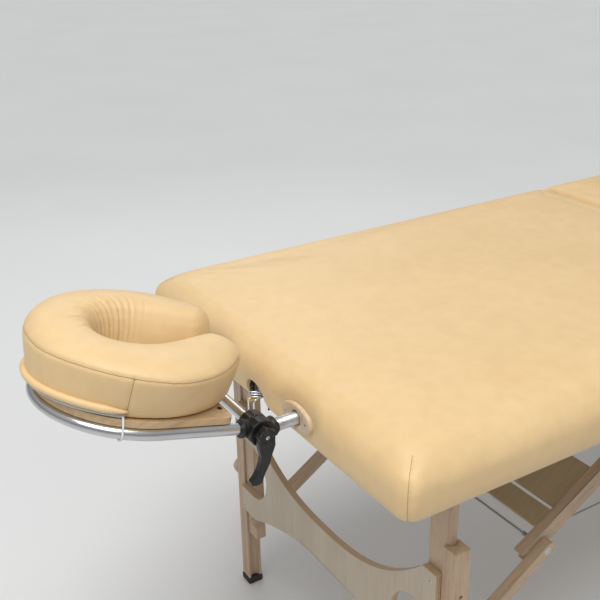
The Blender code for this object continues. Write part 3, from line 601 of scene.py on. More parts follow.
def cover_block():
    """Closed block with a soft shoulder round the top and a small round along the bottom."""
    levels = [(inset, COVER_LOW_Z + rise) for inset, rise in COVER_SIDE]
    top = TOP_Z - 0.0035
    for step in range(9):
        angle = QUARTER * step / 8
        inset = COVER_SIDE[-1][0] + SHOULDER_IN * (1 - math.cos(angle))
        levels.append((inset, top - SHOULDER_DOWN * (1 - math.sin(angle))))
    bm = bmesh.new()
    rings = [[bm.verts.new((HEAD_X + u, y, z)) for u, y in plan_loop(inset)] for inset, z in levels]
    bridge(bm, rings, caps=True)
    return mesh_of(bm, "cover_block")


def arch(radius, low_z):
    """Outline (y, z) of the latch recess: half round above the bail's pivot, straight down to low_z."""
    angles = [math.pi * i / 24 for i in range(25)]
    outline = [(radius * math.cos(angle), LATCH_Z + radius * math.sin(angle)) for angle in angles]
    return outline + [(-radius, low_z), (radius, low_z)]


def slab(bm, outline, low_x, high_x):
    """Flat plate with an outline of (y, z) points, between two places along X."""
    bridge(bm, [[bm.verts.new((x, y, z)) for y, z in outline] for x in (low_x, high_x)], caps=True)


def recess_cutter(depth):
    """Arch-shaped pocket for the latch with the two prong holes, to be cut from the head cover."""
    bm = bmesh.new()
    slab(bm, arch(0.0275, COVER_LOW_Z - 0.02), HEAD_X - 0.03, HEAD_X + depth)
    for _, way in SIDES:
        middle = Vector((HEAD_X, way * PRONG_Y, PRONG_Z))
        reach = Vector((0.12, 0, 0))
        rod_in(bm, middle - reach, middle + reach, PRONG_RADIUS + 0.001, 32)
    return mesh_of(bm, "recess_cutter", False)


def open_underside(mesh, edge, sign):
    """Cut away the middle of the cover's bottom, leaving a hem round the edge."""
    bm = bmesh.new()
    bm.from_mesh(mesh)
    length = HEAD_HIGH.x - HEAD_LOW.x
    inner = HALF_WIDTH - HEM
    cuts = [(Vector((1, 0, 0)), edge + sign * along) for along in (HEM, length - HEM)]
    cuts += [(Vector((0, 1, 0)), way * inner) for way in (1, -1)]
    for normal, value in cuts:
        low = [face for face in bm.faces if face.calc_center_median().z < COVER_LOW_Z + 0.002]
        edges = dict.fromkeys(e for face in low for e in face.edges)
        corners = dict.fromkeys(v for face in low for v in face.verts)
        bmesh.ops.bisect_plane(bm, geom=[*low, *edges, *corners], plane_co=normal * value, plane_no=normal)
    low_x, high_x = sorted(value for _, value in cuts[:2])
    gone = []
    for face in bm.faces:
        middle = face.calc_center_median()
        if middle.z < COVER_LOW_Z + 0.003 and low_x < middle.x < high_x and abs(middle.y) < inner:
            gone.append(face)
    bmesh.ops.delete(bm, geom=gone, context="FACES")
    bm.to_mesh(mesh)
    bm.free()


def cover_base():
    """The inflated cover of one half, in the head half's place, its points before and how far each moved."""
    block = remesh(add_mesh("cover_block", cover_block()), COVER_VOXEL)
    base = points_of(block.data)
    held = np.maximum(
        1 - smooth_step(0.002, 0.012, base[:, 2] - COVER_LOW_Z),
        smooth_step(HEAD_HIGH.x - 0.006, HEAD_HIGH.x - 0.003, base[:, 0]),
    )
    inflate(block, held, COVER_CAP)
    return block, base, points_of(block.data) - base


def dimple_mask(base):
    """How much of the swelling stays near the grommets and the latch recess."""
    keep = np.ones(len(base))
    front = base[:, 0] < HEAD_X + 0.034
    for side, _ in SIDES:
        low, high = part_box("prong_grommet_" + side)
        middle = (low + high) / 2
        away = np.hypot((base[:, 1] - middle.y) / 0.040, (base[:, 2] - middle.z) / 0.025)
        keep = np.where(front, np.minimum(keep, smooth_step(0.95, 1.75, away)), keep)
    away = np.hypot(base[:, 1], base[:, 2] - COVER_LOW_Z)
    return np.where(front, np.minimum(keep, 0.2 + 0.8 * smooth_step(0.03, 0.055, away)), keep)


def corner_seams(cover, end, edge, sign):
    """Stitched seams up the two outer corners, from the bottom edge over the shoulder."""
    tree = BVHTree.FromObject(cover, bpy.context.evaluated_depsgraph_get())
    lines = []
    for side, way in SIDES:
        laid = []
        for step in range(57):
            share = step / 56
            z = COVER_LOW_Z + 0.003 + (TOP_Z - 0.030 - COVER_LOW_Z) * share
            outside = Vector((edge - sign * 0.08, way * (HALF_WIDTH + 0.08), z + 0.10 * share**3))
            inside = Vector((edge + sign * 0.06, way * (HALF_WIDTH - 0.06), z - 0.012 * share))
            spot = tree.ray_cast(outside, inside - outside)[0]
            if spot is not None:
                laid.append(spot)
        lines.append(laid)
    for (side, way), laid in zip(SIDES, lines):
        stitch = (0.0022 * way * sign, 0.0028, 0.0044)
        sew(cover, f"{end}_corner_seam_{side}", laid, end + "_panel", 0.0005, 0.0055, 0.0012, stitch)


def bulge_sides(mesh, keep):
    """Let the padding stand out at mid height on the three outer sides, except where fittings hold it."""
    spots = points_of(mesh)
    facing = normals_of(mesh)
    upright = 1 - smooth_step(0.55, 0.95, np.abs(facing[:, 2]))
    height = smooth_step(COVER_LOW_Z + 0.001, COVER_LOW_Z + 0.026, spots[:, 2])
    height *= 1 - smooth_step(*BULGE_FADE_Z, spots[:, 2])
    clear = smooth_step(0.004, 0.040, np.abs(spots[:, 0] - MIDDLE_X))
    spots += facing * (SIDE_BULGE * upright * height * clear * (1.35 * keep - 0.35))[:, None]
    put_points(mesh, spots)


def table_covers():
    """Both covers from one inflated block: the head's with its recess and dimples, the foot's mirrored."""
    block, base, moved = cover_base()
    for end, edge, sign in ENDS:
        mesh = block.data.copy()
        if end == "head":
            keep = dimple_mask(base)
            put_points(mesh, base + moved * keep[:, None])
        else:
            keep = np.ones(len(base))
            swollen = base + moved
            swollen[:, 0] = HEAD_X + FOOT_X - swollen[:, 0]
            put_points(mesh, swollen)
            mesh.flip_normals()
        bulge_sides(mesh, keep)
        cover = subdivide(add_mesh(end + "_cover", mesh))
        if end == "head":
            cutter = add_mesh("recess_cutter", recess_cutter(0.0235))
            cut = cover.modifiers.new("Recess", "BOOLEAN")
            cut.operation = "DIFFERENCE"
            cut.solver = "EXACT"
            cut.object = cutter
            settle(cover)
            bpy.data.objects.remove(cutter)
        open_underside(cover.data, edge, sign)
        cover_with(cover, VINYL)
        cover.data.set_sharp_from_angle(angle=SHARP)
        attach(cover, end + "_panel")
        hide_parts(end + "_cushion")
        corner_seams(cover, end, edge, sign)
    bpy.data.objects.remove(block)


# --- face pad ---

PAD_VOXEL = 0.004
PAD_CAP = 0.0055
PAD_CENTRE = 0.134
PAD_FLAT = 0.0190
SEAM_HEIGHT = 0.0790
CROWN_HEIGHT = 0.0985
HORN_END = math.radians(147)
LIP_END = math.radians(128)
SIDE_SEAM = math.radians(-63)


def power_round(angle, power):
    """Point of a unit superellipse."""
    c, s = math.cos(angle), math.sin(angle)
    return math.copysign(abs(c) ** (2 / power), c), math.copysign(abs(s) ** (2 / power), s)


def seam_point(angle):
    fullness = float(smooth_step(-0.75, 0.35, math.sin(angle)))
    along, across = power_round(angle, 1.72 + 0.42 * fullness)
    return Vector((PAD_CENTRE + (0.1425 + 0.003 * fullness) * along, 0.1455 * across))


def bottom_point(angle):
    along, across = power_round(angle, 1.9)
    return Vector((PAD_CENTRE + 0.137 * along, 0.119 * across))


HOLE_TURN = (0, 15, 30, 45, 60, 75, 90, 105, 120, 133, 141, 147)
HOLE_ALONG = (0.1900, 0.1885, 0.1840, 0.1765, 0.1660, 0.1530, 0.1385, 0.1225, 0.1050, 0.0860, 0.0690, 0.0540)
HOLE_ACROSS = (0.0, 0.0105, 0.0202, 0.0285, 0.0342, 0.0372, 0.0375, 0.0350, 0.0300, 0.0232, 0.0175, 0.0140)


def hole_point(angle):
    turn = math.degrees(abs(angle))
    across = math.copysign(float(np.interp(turn, HOLE_TURN, HOLE_ACROSS)), angle)
    return Vector((float(np.interp(turn, HOLE_TURN, HOLE_ALONG)), across))


def ridge_point(angle):
    return seam_point(angle).lerp(hole_point(angle), 0.66)


def pad_stations():
    """Round the pad's rim: seam place, bottom place, ridge place and inwardness of each station."""
    sweep = [-HORN_END + 2 * HORN_END * i / 60 for i in range(61)]
    stations = [(seam_point(angle), bottom_point(angle), ridge_point(angle), 0.0) for angle in sweep]
    stations += horn_stations(HORN_END, 1)
    for angle in reversed(sweep):
        wall, ridge = hole_point(angle), ridge_point(angle)
        stations.append((wall, wall.lerp(ridge, 0.08), ridge, 1.0))
    return stations + horn_stations(-HORN_END, -1)


def horn_stations(angle, turn):
    """Half round past a horn's end, from its outer side to its inner side, or back for a turn of -1."""
    outer, inner, ridge = seam_point(angle), hole_point(angle), ridge_point(angle)
    low_outer, low_inner = bottom_point(angle), inner.lerp(ridge, 0.08)
    middle, low_middle = (outer + inner) / 2, (low_outer + low_inner) / 2
    half, low_half = (outer - inner) / 2, (low_outer - low_inner) / 2
    ahead = Vector((-half.y, half.x)) if turn > 0 else Vector((half.y, -half.x))
    if ahead.x > 0:
        ahead = -ahead
    low_ahead = ahead * (low_half.length / half.length)
    made = []
    steps = 14
    for i in range(1, steps):
        share = i / steps if turn > 0 else 1 - i / steps
        bend = math.pi * share
        rim = middle + half * math.cos(bend) + ahead * math.sin(bend) * 0.78
        low = low_middle + low_half * math.cos(bend) + low_ahead * math.sin(bend) * 0.74
        made.append((rim, low, ridge, share * share * (3 - 2 * share)))
    return made


OUTER_PROFILE = (
    (0.0, 1.0), (0.25, 0.985), (0.5, 0.90), (0.70, 0.73), (0.85, 0.50), (0.94, 0.26), (1.0, 0.0),
)
INNER_PROFILE = (
    (0.0, 1.0), (0.35, 0.93), (0.62, 0.72), (0.82, 0.36), (0.94, -0.10), (0.99, -0.62), (1.0, -1.1),
)


def pad_body():
    """Closed solid of the crescent: domed top, flaring band outside, round wall in the hole, flat bottom."""
    bm = bmesh.new()
    columns = []
    for rim, low, ridge, inward in pad_stations():
        column = []
        dome = CROWN_HEIGHT - SEAM_HEIGHT + 0.018 * float(smooth_step(-0.06, 0.09, ridge.y))
        for (out_a, out_h), (in_a, in_h) in zip(OUTER_PROFILE, INNER_PROFILE):
            share = out_a + (in_a - out_a) * inward
            height = SEAM_HEIGHT + dome * (out_h + (in_h - out_h) * inward)
            column.append((ridge.lerp(rim, share), height))
        start = column[-1][1]
        for step in range(1, 6):
            share = step / 5
            column.append((rim.lerp(low, share**1.25), start + (PAD_FLAT + 0.003 - start) * share))
        column += [(low.lerp(ridge, share), PAD_FLAT) for share in (0.06, 0.5, 1)]
        columns.append([bm.verts.new(cradle_point(p.x, p.y, h)) for p, h in column])
    bridge(bm, columns, around=False, along=True)
    bmesh.ops.remove_doubles(bm, verts=bm.verts, dist=0.0002)
    bmesh.ops.dissolve_degenerate(bm, dist=0.0001, edges=bm.edges)
    bmesh.ops.holes_fill(bm, edges=[e for e in bm.edges if len(e.link_faces) == 1])
    return mesh_of(bm, "pad_body")


def in_cradle(spots):
    """The points' distances along the cradle's plane, across it and above it."""
    return (spots - np.array(TILT_PLACE)) @ np.array([AWAY, (0, 1, 0), ABOVE]).T


def face_pad():
    """The crescent pad: inflated, gathered into its hole, with a rim seam, a side seam and a lip."""
    pad = remesh(add_mesh("face_pad_cover", pad_body()), PAD_VOXEL)
    local = in_cradle(points_of(pad.data))
    held = 1 - smooth_step(0.001, 0.008, local[:, 2] - PAD_FLAT)
    seam_near = 1 - smooth_step(0.003, 0.012, np.abs(local[:, 2] - SEAM_HEIGHT))
    rim = np.hypot((local[:, 0] - PAD_CENTRE) / 0.1425, local[:, 1] / 0.1455)
    held = np.maximum(held, 0.9 * seam_near * smooth_step(0.86, 0.95, rim))
    inflate(pad, held, PAD_CAP)
    subdivide(pad)
    gather(pad)
    cover_with(pad, VINYL)
    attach(pad, "cradle_hoop")
    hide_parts("face_pad")
    rim_line = [seam_point(HORN_END * (i / 60 - 1)) for i in range(121)]
    points = [cradle_point(p.x, p.y, SEAM_HEIGHT) for p in rim_line]
    sew(pad, "pad_top_seam", points, "cradle_hoop", width=0.0032)
    top, low = seam_point(SIDE_SEAM), bottom_point(SIDE_SEAM - math.radians(4))
    points = []
    for i in range(13):
        spot = top.lerp(low, i / 12)
        points.append(cradle_point(spot.x, spot.y, SEAM_HEIGHT + (PAD_FLAT + 0.004 - SEAM_HEIGHT) * i / 12))
    sew(pad, "pad_side_seam", points, "cradle_hoop", width=0.003, stitch=(0.0022, 0.0026, 0.0042))
    pad_lip(pad)


def gather(pad):
    """Curved folds where the top sheet is pulled down into the hole, on its far and outer walls."""
    spots = points_of(pad.data)
    local = in_cradle(spots)
    along, across = local[:, 0] - 0.150, local[:, 1]
    away = np.hypot(along, across)
    angle = np.arctan2(across, along)
    swirl = angle + 7.0 * (away - 0.045)
    valley = np.exp(-((np.sin(9.0 * swirl) / 0.30) ** 2))
    spread = smooth_step(-0.55, 0.20, angle) * (1 - smooth_step(1.75, 2.5, angle))
    depth = smooth_step(0.030, 0.048, local[:, 2]) * (1 - smooth_step(0.058, 0.090, away))
    puff = 0.0010 * np.sin(18.0 * swirl + QUARTER) - 0.0042 * valley
    spots += normals_of(pad.data) * (puff * spread * depth)[:, None]
    put_points(pad.data, spots)


def pad_lip(pad):
    """Rolled lip round the lower edge of the band and the zipper tape under it."""
    steps = 90
    start = SIDE_SEAM - math.radians(3.5)
    share = (0.031 - PAD_FLAT) / (SEAM_HEIGHT - PAD_FLAT)
    lip, tape = [], []
    for i in range(steps + 1):
        angle = start + (LIP_END - start) * i / steps
        low = bottom_point(angle)
        spot = low.lerp(seam_point(angle), share)
        lip.append(cradle_point(spot.x, spot.y, 0.0305))
        tape.append(cradle_point(low.x, low.y, 0.0225))
    lip, tape = snapped(pad, lip), snapped(pad, tape)
    radii = [min(1, 0.35 + 0.65 * min(i, steps - i) / 5) for i in range(steps + 1)]
    roll = tube_mesh("pad_lip", [spot + normal * 0.0024 for spot, normal in lip], 0.0050, VINYL, 14, radii)
    shadow = [spot - ABOVE * 0.0042 + normal * 0.0006 for spot, normal in lip]
    flat = [spot + normal * 0.0002 for spot, normal in tape]
    raised = [spot + ABOVE * 0.0004 for spot in flat]
    for part in (
        roll,
        tube_mesh("pad_lip_seam", shadow, 0.0009, SEAM_SHADOW, 6),
        ribbon("pad_zipper_tape", flat, ABOVE, 0.0030, 0.0008, TAPE),
        ribbon("pad_zipper_teeth", raised, ABOVE, 0.0011, 0.0014, ZIPPER),
    ):
        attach(part, "cradle_hoop")


def ribbon(name, spots, upright, half, thick, material):
    """Thin closed band along the spots, standing along upright."""
    bm = bmesh.new()
    rings = []
    corners = ((-half, -thick), (half, -thick), (half, thick), (-half, thick))
    for i, spot in enumerate(spots):
        ahead = (spots[min(i + 1, len(spots) - 1)] - spots[max(i - 1, 0)]).normalized()
        side = ahead.cross(upright).normalized()
        rings.append([bm.verts.new(spot + upright * a + side * b) for a, b in corners])
    bridge(bm, rings, caps=True)
    return add_mesh(name, mesh_of(bm, name, False), [material])


# --- hardware ---

CLAMP_PLACE = Vector((TILT_PLACE.x, 0, TILT_PLACE.z))
PRONG_LOW, PRONG_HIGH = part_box("prong_near")
PRONG_Y = abs(PRONG_LOW.y + PRONG_HIGH.y) / 2
PRONG_Z = (PRONG_LOW.z + PRONG_HIGH.z) / 2
PRONG_RADIUS = (PRONG_HIGH.z - PRONG_LOW.z) / 2
TUBE_RADIUS = 0.008
HOOP_RADIUS = 0.120
HOOP_CENTRE = 0.139
DRUM_RADIUS = 0.0195
SOCKET_END = 0.026
PAN_HEAD = ((0.0, 0.30), (0.35, 0.29), (0.70, 0.22), (0.93, 0.08), (1.0, -0.05), (1.0, -0.3), (0.0, -0.3))
FLUSH_BOLT = (
    (0.0, 0.010), (0.40, 0.010), (0.46, -0.05), (0.60, -0.05), (0.64, 0.024), (0.96, 0.024), (1.0, 0.0),
    (1.0, -0.2), (0.0, -0.2),
)
HEX_BOLT = ((0.0, 0.46), (0.78, 0.46), (0.86, 0.40), (0.86, 0.12), (1.25, 0.10), (1.28, -0.1), (0.0, -0.1))
NUB = (
    (0.0, 0.014), (0.0030, 0.0135), (0.0042, 0.011), (0.0042, 0.003), (0.0028, 0.002), (0.0028, -0.0085),
    (0.0, -0.0085),
)
LEVER_DROP = 0.93
BAIL_FORWARD = 0.019
BAIL_WIRE = 0.0013
TIE_ALONG = 0.1895
KNEE_ALONG = 0.3681
KNEE_Z = 0.3399
PANEL_SCREW_Z = (0.415, 0.377, 0.235, 0.207)
GROMMET_LONG = 0.0375
GROMMET_HIGH = 0.0200
GROMMET_RINGS = ((1.0, -0.0010), (1.0, 0.0026), (0.975, 0.0042), (0.925, 0.0050))
GROMMET_HOLE = ((0.0122, 0.0050), (0.0112, 0.0040), (0.0112, -0.0010))


def lathe(bm, origin, axis, profile, scale=1.0, segments=20):
    """Turn a (radius, height) profile about an axis."""
    turn = Vector((0, 0, 1)).rotation_difference(Vector(axis)).to_matrix()
    rings = []
    for radius, height in profile:
        angles = turns(segments) if radius > 1e-6 else [0.0]
        spots = [Vector((radius * math.cos(a), radius * math.sin(a), height)) * scale for a in angles]
        rings.append([bm.verts.new(Vector(origin) + turn @ spot) for spot in spots])
    bridge(bm, rings)


def rod_in(bm, start, stop, radius, segments=24):
    start, stop = Vector(start), Vector(stop)
    turn = Vector((0, 0, 1)).rotation_difference(stop - start).to_matrix().to_4x4()
    bmesh.ops.create_cone(
        bm, cap_ends=True, segments=segments, radius1=radius, radius2=radius, depth=(stop - start).length,
        matrix=Matrix.Translation((start + stop) / 2) @ turn,
    )


def box_in(bm, low, high):
    low, high = Vector(low), Vector(high)
    place = Matrix.Translation((low + high) / 2)
    bmesh.ops.create_cube(bm, size=1, matrix=place @ Matrix.Diagonal((*(high - low), 1)))


def piece(name, bm, material, body, smooth=True, bevel=0.0):
    """A finished rigid piece that rides on a body."""
    obj = add_mesh(name, mesh_of(bm, name, smooth), [material])
    if bevel:
        soften = obj.modifiers.new("Bevel", "BEVEL")
        soften.width = bevel
        soften.segments = 3
        soften.angle_limit = math.radians(40)
        settle(obj)
    if smooth:
        obj.data.set_sharp_from_angle(angle=SHARP)
    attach(obj, body)
    return obj


def moulded(name, bm, material, body, voxel=0.0009, rounds=4):
    """Melt overlapping solids into one soft-edged moulding."""
    obj = remesh(add_mesh(name, mesh_of(bm, name)), voxel)
    obj.modifiers.new("Smooth", "SMOOTH").iterations = rounds
    cover_with(settle(obj), material)
    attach(obj, body)
    return obj


def fasteners(name, spots, profile, scale, material, body, slot=True):
    """Screws or bolts in one piece; spots are (place, outward direction) pairs. slot adds a cross recess."""
    bm = bmesh.new()
    for place, outward in spots:
        lathe(bm, place, outward, profile, scale, 6 if profile is HEX_BOLT else 20)
    piece(name, bm, material, body)
    if not slot:
        return
    # The cross recess is not cut: near-black boxes standing on the head are painted shade in it.
    bm = bmesh.new()
    shape = Matrix.Diagonal((scale * 0.95, scale * 0.2, scale * 0.12, 1))
    for place, outward in spots:
        turn = Vector((0, 0, 1)).rotation_difference(Vector(outward)).to_matrix().to_4x4()
        lift = Matrix.Translation(place) @ turn @ Matrix.Translation((0, 0, scale * 0.255))
        for quarter in (0.4, 0.4 + QUARTER):
            bmesh.ops.create_cube(bm, size=1, matrix=lift @ Matrix.Rotation(quarter, 4, "Z") @ shape)
    piece(name + "_slots", bm, DARK_STEEL_AND_SHADE, body, False)


def cradle_metal():
    """Bent hoop tube, straight cross tube and the two grooved prongs."""
    straight = [0.016 + (HOOP_CENTRE - 0.016) * i / 8 for i in range(9)]
    bend = [QUARTER - math.pi * i / 64 for i in range(1, 64)]
    spots = [cradle_point(along, HOOP_RADIUS, 0) for along in straight]
    spots += [
        cradle_point(HOOP_CENTRE + HOOP_RADIUS * math.cos(angle), HOOP_RADIUS * math.sin(angle), 0)
        for angle in bend
    ]
    spots += [cradle_point(along, -HOOP_RADIUS, 0) for along in reversed(straight)]
    tube = tube_mesh("hoop_rod", spots, TUBE_RADIUS, ALUMINIUM, 32)
    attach(tube, "cradle_hoop")
    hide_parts("hoop_tube")
    bm = bmesh.new()
    reach = Vector((0, 0.101, 0))
    rod_in(bm, CLAMP_PLACE - reach, CLAMP_PLACE + reach, TUBE_RADIUS, 40)
    cross = piece("cross_rod", bm, ALUMINIUM, "cradle_hoop")
    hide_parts("cross_tube")
    start = CLAMP_PLACE.x + 0.020
    reach = PRONG_HIGH.x - start
    profile = [(0.0, 0.0), (PRONG_RADIUS * 0.98, 0.0)]
    for k in range(7):
        along = 0.0085 + 0.0016 * k
        profile.append((PRONG_RADIUS, along))
        profile.append((PRONG_RADIUS * 0.965, along + 0.0006))
        profile.append((PRONG_RADIUS, along + 0.0012))
    profile += [(PRONG_RADIUS, reach - 0.001), (PRONG_RADIUS * 0.9, reach), (0.0, reach)]
    for side, way in SIDES:
        bm = bmesh.new()
        lathe(bm, (start, way * PRONG_Y, PRONG_Z), (1, 0, 0), profile, 1.0, 40)
        prong = piece("prong_rod_" + side, bm, PRONG_METAL, "cradle_base")
        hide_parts("prong_" + side)


def drum(bm, way, inner, outer, teeth):
    """Disc round the tilt axis with blunt teeth on its rim."""
    low, high = [Vector((0, y, 0)) for y in sorted((way * inner, way * outer))]
    rod_in(bm, CLAMP_PLACE + low, CLAMP_PLACE + high, DRUM_RADIUS - 0.0012, 48)
    for angle in turns(teeth, 0.5):
        spot = CLAMP_PLACE + Vector((math.cos(angle), 0, math.sin(angle))) * (DRUM_RADIUS - 0.0017)
        rod_in(bm, spot + low, spot + high, 0.0017, 10)


def clamps():
    """Both tilt clamps: a cradle-side half on the hoop and a table-side half on the prong."""
    ahead = Vector((1, 0, 0))
    for side, way in SIDES:
        bm = bmesh.new()
        drum(bm, way, 0.1012, 0.1195, 14)
        start = CLAMP_PLACE + Vector((0, way * PRONG_Y, 0))
        rod_in(bm, start + AWAY * 0.010, start + AWAY * SOCKET_END, 0.0118, 32)
        rod_in(bm, start + AWAY * (SOCKET_END - 0.004), start + AWAY * SOCKET_END, 0.0128, 32)
        arm = start + Vector((0, -way * 0.009, 0))
        rod_in(bm, arm, arm + AWAY * 0.022, 0.0085, 24)
        inner = moulded("hoop_clamp_body_" + side, bm, CLAMP_PLASTIC, "cradle_hoop")
        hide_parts("hoop_clamp_" + side)
        bm = bmesh.new()
        drum(bm, way, 0.1205, 0.1375, 12)
        prong = Vector((CLAMP_PLACE.x, way * PRONG_Y, PRONG_Z))
        mouth = prong + ahead * SOCKET_END
        rod_in(bm, prong + ahead * 0.010 + Vector((0, way * 0.006, 0)), mouth, 0.0122, 32)
        rod_in(bm, prong + ahead * 0.014, mouth, 0.0132, 32)
        rod_in(bm, prong + ahead * (SOCKET_END - 0.004), mouth, 0.0142, 32)
        for lift in (-0.006, 0.006):
            web = prong + Vector((0.012, way * 0.009, lift))
            half = Vector((0.012, 0.0055, 0.0015))
            box_in(bm, web - half, web + half)
        outer = moulded("base_clamp_body_" + side, bm, CLAMP_PLASTIC, "cradle_base")
        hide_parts("base_clamp_" + side)
    face = CLAMP_PLACE + Vector((0, PRONG_Y + 0.0175, 0))
    fasteners("clamp_bolt_far", [(face, (0, 1, 0))], HEX_BOLT, 0.0055, STEEL, "cradle_base", False)


LEVER_OUTLINE = (
    (0.0120, -0.004), (0.0122, -0.016), (0.0068, -0.030), (0.0030, -0.043), (-0.0050, -0.058),
    (-0.0085, -0.067), (-0.0105, -0.0722), (-0.0180, -0.0735), (-0.0255, -0.0715), (-0.0262, -0.0660),
    (-0.0205, -0.0600), (-0.0150, -0.0510), (-0.0110, -0.0400), (-0.0095, -0.0300), (-0.0118, -0.0180),
    (-0.0125, -0.0060), (-0.0060, 0.0080), (0.0060, 0.0085),
)


def lever():
    """Clamping lever: a hub with lobes, a waisted handle, a beak at its end and a bolt through the hub."""
    out = Vector((0, -1, 0))
    hub = CLAMP_PLACE + out * (PRONG_Y + 0.0185)
    bm = bmesh.new()
    bridge(bm, [
        [bm.verts.new(hub + Vector((x, -lift, LEVER_DROP * z))) for x, z in LEVER_OUTLINE]
        for lift in (0.0115, 0.001)
    ], caps=True)
    rod_in(bm, hub, hub + out * 0.0125, 0.0120, 36)
    for angle in turns(5, 0.3):
        spot = hub + Vector((math.cos(angle), 0, math.sin(angle))) * 0.0105
        rod_in(bm, spot, spot + out * 0.0135, 0.0036, 16)
    handle = moulded("lever_handle", bm, CLAMP_PLASTIC, "clamp_lever", 0.0008, 8)
    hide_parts("clamp_lever")
    fasteners("lever_bolt", [(hub + out * 0.0118, out)], PAN_HEAD, 0.0036, CHROME, "clamp_lever")


def grommet_plate(bm, centre):
    """Oval plate with softened rim and a round hole."""
    outlines = [(GROMMET_LONG * share, GROMMET_HIGH * share, lift) for share, lift in GROMMET_RINGS]
    outlines += [(radius, radius, lift) for radius, lift in GROMMET_HOLE]
    rings = []
    for wide, high, lift in outlines:
        spots = [Vector((-lift, wide * math.cos(angle), high * math.sin(angle))) for angle in turns(72)]
        rings.append([bm.verts.new(centre + spot) for spot in spots])
    bridge(bm, rings, along=True)


def grommets():
    """Oval wooden plates round the prong holes, each with two screws and a dark socket behind it."""
    for side, way in SIDES:
        bm = bmesh.new()
        centre = Vector((HEAD_X - 0.0005, way * PRONG_Y, PRONG_Z))
        grommet_plate(bm, centre)
        ring = piece("grommet_ring_" + side, bm, GROMMET_WOOD, "head_panel")
        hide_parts("prong_grommet_" + side)
        bm = bmesh.new()
        rod_in(bm, centre, centre + Vector((0.020, 0, 0)), 0.0111, 32)
        piece("prong_socket_" + side, bm, DARK_STEEL_AND_SHADE, "head_panel")
        spots = [(centre + Vector((-0.0046, turn * 0.0250, 0)), (-1, 0, 0)) for turn in (-1, 1)]
        fasteners("grommet_screws_" + side, spots, PAN_HEAD, 0.0032, STEEL, "head_panel")


def latch():
    """A black lining as painted shade inside the recess, a black latch plate in it with its screws and lugs,
    a brass nub and three chrome wires.
    """
    low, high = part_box("latch_plate")
    face_x = HEAD_X + 0.0195
    # The recess gets a black rubber back wall and side walls: painted shade inside the pocket.
    bm = bmesh.new()
    slab(bm, arch(0.0268, LATCH_Z - 0.004), face_x, face_x + 0.0022)
    outer, inner = [arch(radius, COVER_LOW_Z + 0.001) for radius in (0.0274, 0.0264)]
    front, back = HEAD_X + 0.004, face_x + 0.001
    loops = [
        [bm.verts.new((x, y, z)) for y, z in line[-1:] + line[:-1]]
        for line, x in ((outer, front), (inner, front), (inner, back), (outer, back))
    ]
    bridge(bm, loops, around=False, along=True)
    for k in (0, -1):
        bm.faces.new([loop[k] for loop in loops])
    piece("recess_shade_lining", bm, FOOT_RUBBER_AND_RECESS_SHADE, "head_panel", False)
    bm = bmesh.new()
    box_in(bm, (face_x - 0.0016, -0.0135, low.z - 0.001), (face_x - 0.0002, 0.0135, high.z - 0.004))
    plate = piece("latch_back", bm, DARK_STEEL_AND_SHADE, "head_panel", True, 0.0005)
    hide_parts("latch_plate")
    bm = bmesh.new()
    for y in (-0.0130, 0.0130):
        box_in(bm, (HEAD_X + 0.0065, y - 0.0008, LATCH_Z - 0.006), (face_x, y + 0.0008, LATCH_Z + 0.0150))
    rod_in(bm, (HEAD_X + 0.010, -0.0145, LATCH_Z), (HEAD_X + 0.010, 0.0145, LATCH_Z), 0.0012, 16)
    piece("latch_lugs", bm, STEEL, "head_panel", True, 0.0003)
    places = ((0.0, high.z + 0.004), (0.0165, LATCH_Z + 0.003), (-0.0165, LATCH_Z + 0.003))
    spots = [(Vector((face_x - 0.0010, y, z)), (-1, 0, 0)) for y, z in places]
    fasteners("latch_screws", spots, PAN_HEAD, 0.0034, STEEL, "head_panel")
    bm = bmesh.new()
    lathe(bm, (HEAD_X + 0.002, 0.003, LATCH_Z - 0.003), (-1, 0, 0), NUB)
    piece("latch_nub", bm, BRASS, "head_panel")
    for k, lift in enumerate((0.0045, 0.0085, 0.0125)):
        wire = []
        for i in range(9):
            share = i / 8
            x = HEAD_X + 0.009 - 0.020 * math.sin(math.pi * share)
            wire.append(Vector((x, 0.025 * (share - 0.5), LATCH_Z + lift + 0.0025 * (share - 0.5))))
        rod = tube_mesh(f"latch_spring_{k}", wire, 0.0011, CHROME)
        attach(rod, "head_panel")
    bail()


def bail():
    """Hanging wire bail: out from its pivot, down, and across, with a sleeve on each side."""
    low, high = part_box("latch_bail")
    half = (high.y - low.y) / 2 - BAIL_WIRE
    x = (low.x + high.x) / 2
    bottom = low.z + BAIL_WIRE
    corner = 0.003
    front = x - BAIL_FORWARD
    elbow = [QUARTER * i / 5 for i in range(6)]
    drop = LATCH_Z - 0.006 - bottom - corner
    path = [(x, 0, LATCH_Z), (x - 0.006, 0, LATCH_Z + 0.0012), (x - 0.012, 0, LATCH_Z + 0.0008)]
    path += [(front + 0.005 * (1 - math.sin(a)), 0, LATCH_Z - 0.005 * (1 - math.cos(a))) for a in elbow]
    path += [(front, 0, LATCH_Z - 0.006 - drop * i / 4) for i in range(5)]
    path += [(front, corner * (1 - math.cos(a)), bottom + corner * (1 - math.sin(a))) for a in elbow[1:]]
    near = [Vector((x, y - half, z)) for x, y, z in path]
    far = [Vector((spot.x, -spot.y, spot.z)) for spot in reversed(near)]
    wire = tube_mesh("bail_wire", near + far, BAIL_WIRE, CHROME, 14)
    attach(wire, "latch_bail")
    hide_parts("latch_bail")
    bm = bmesh.new()
    for y in (-half, half):
        rod_in(bm, (front, y, bottom + 0.004), (front, y, bottom + 0.018), 0.0022, 16)
    piece("bail_sleeves", bm, STEEL, "latch_bail")


def facing_spots(node, place, outward):
    """At a place, the outer (1) or inner (-1) face of each side's node, with the direction it faces."""
    spots = []
    for side, way in SIDES:
        low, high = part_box(node + side)
        y = high.y if way * outward > 0 else low.y
        spots.append((Vector((place.x, y, place.z)), (0, way * outward, 0)))
    return spots


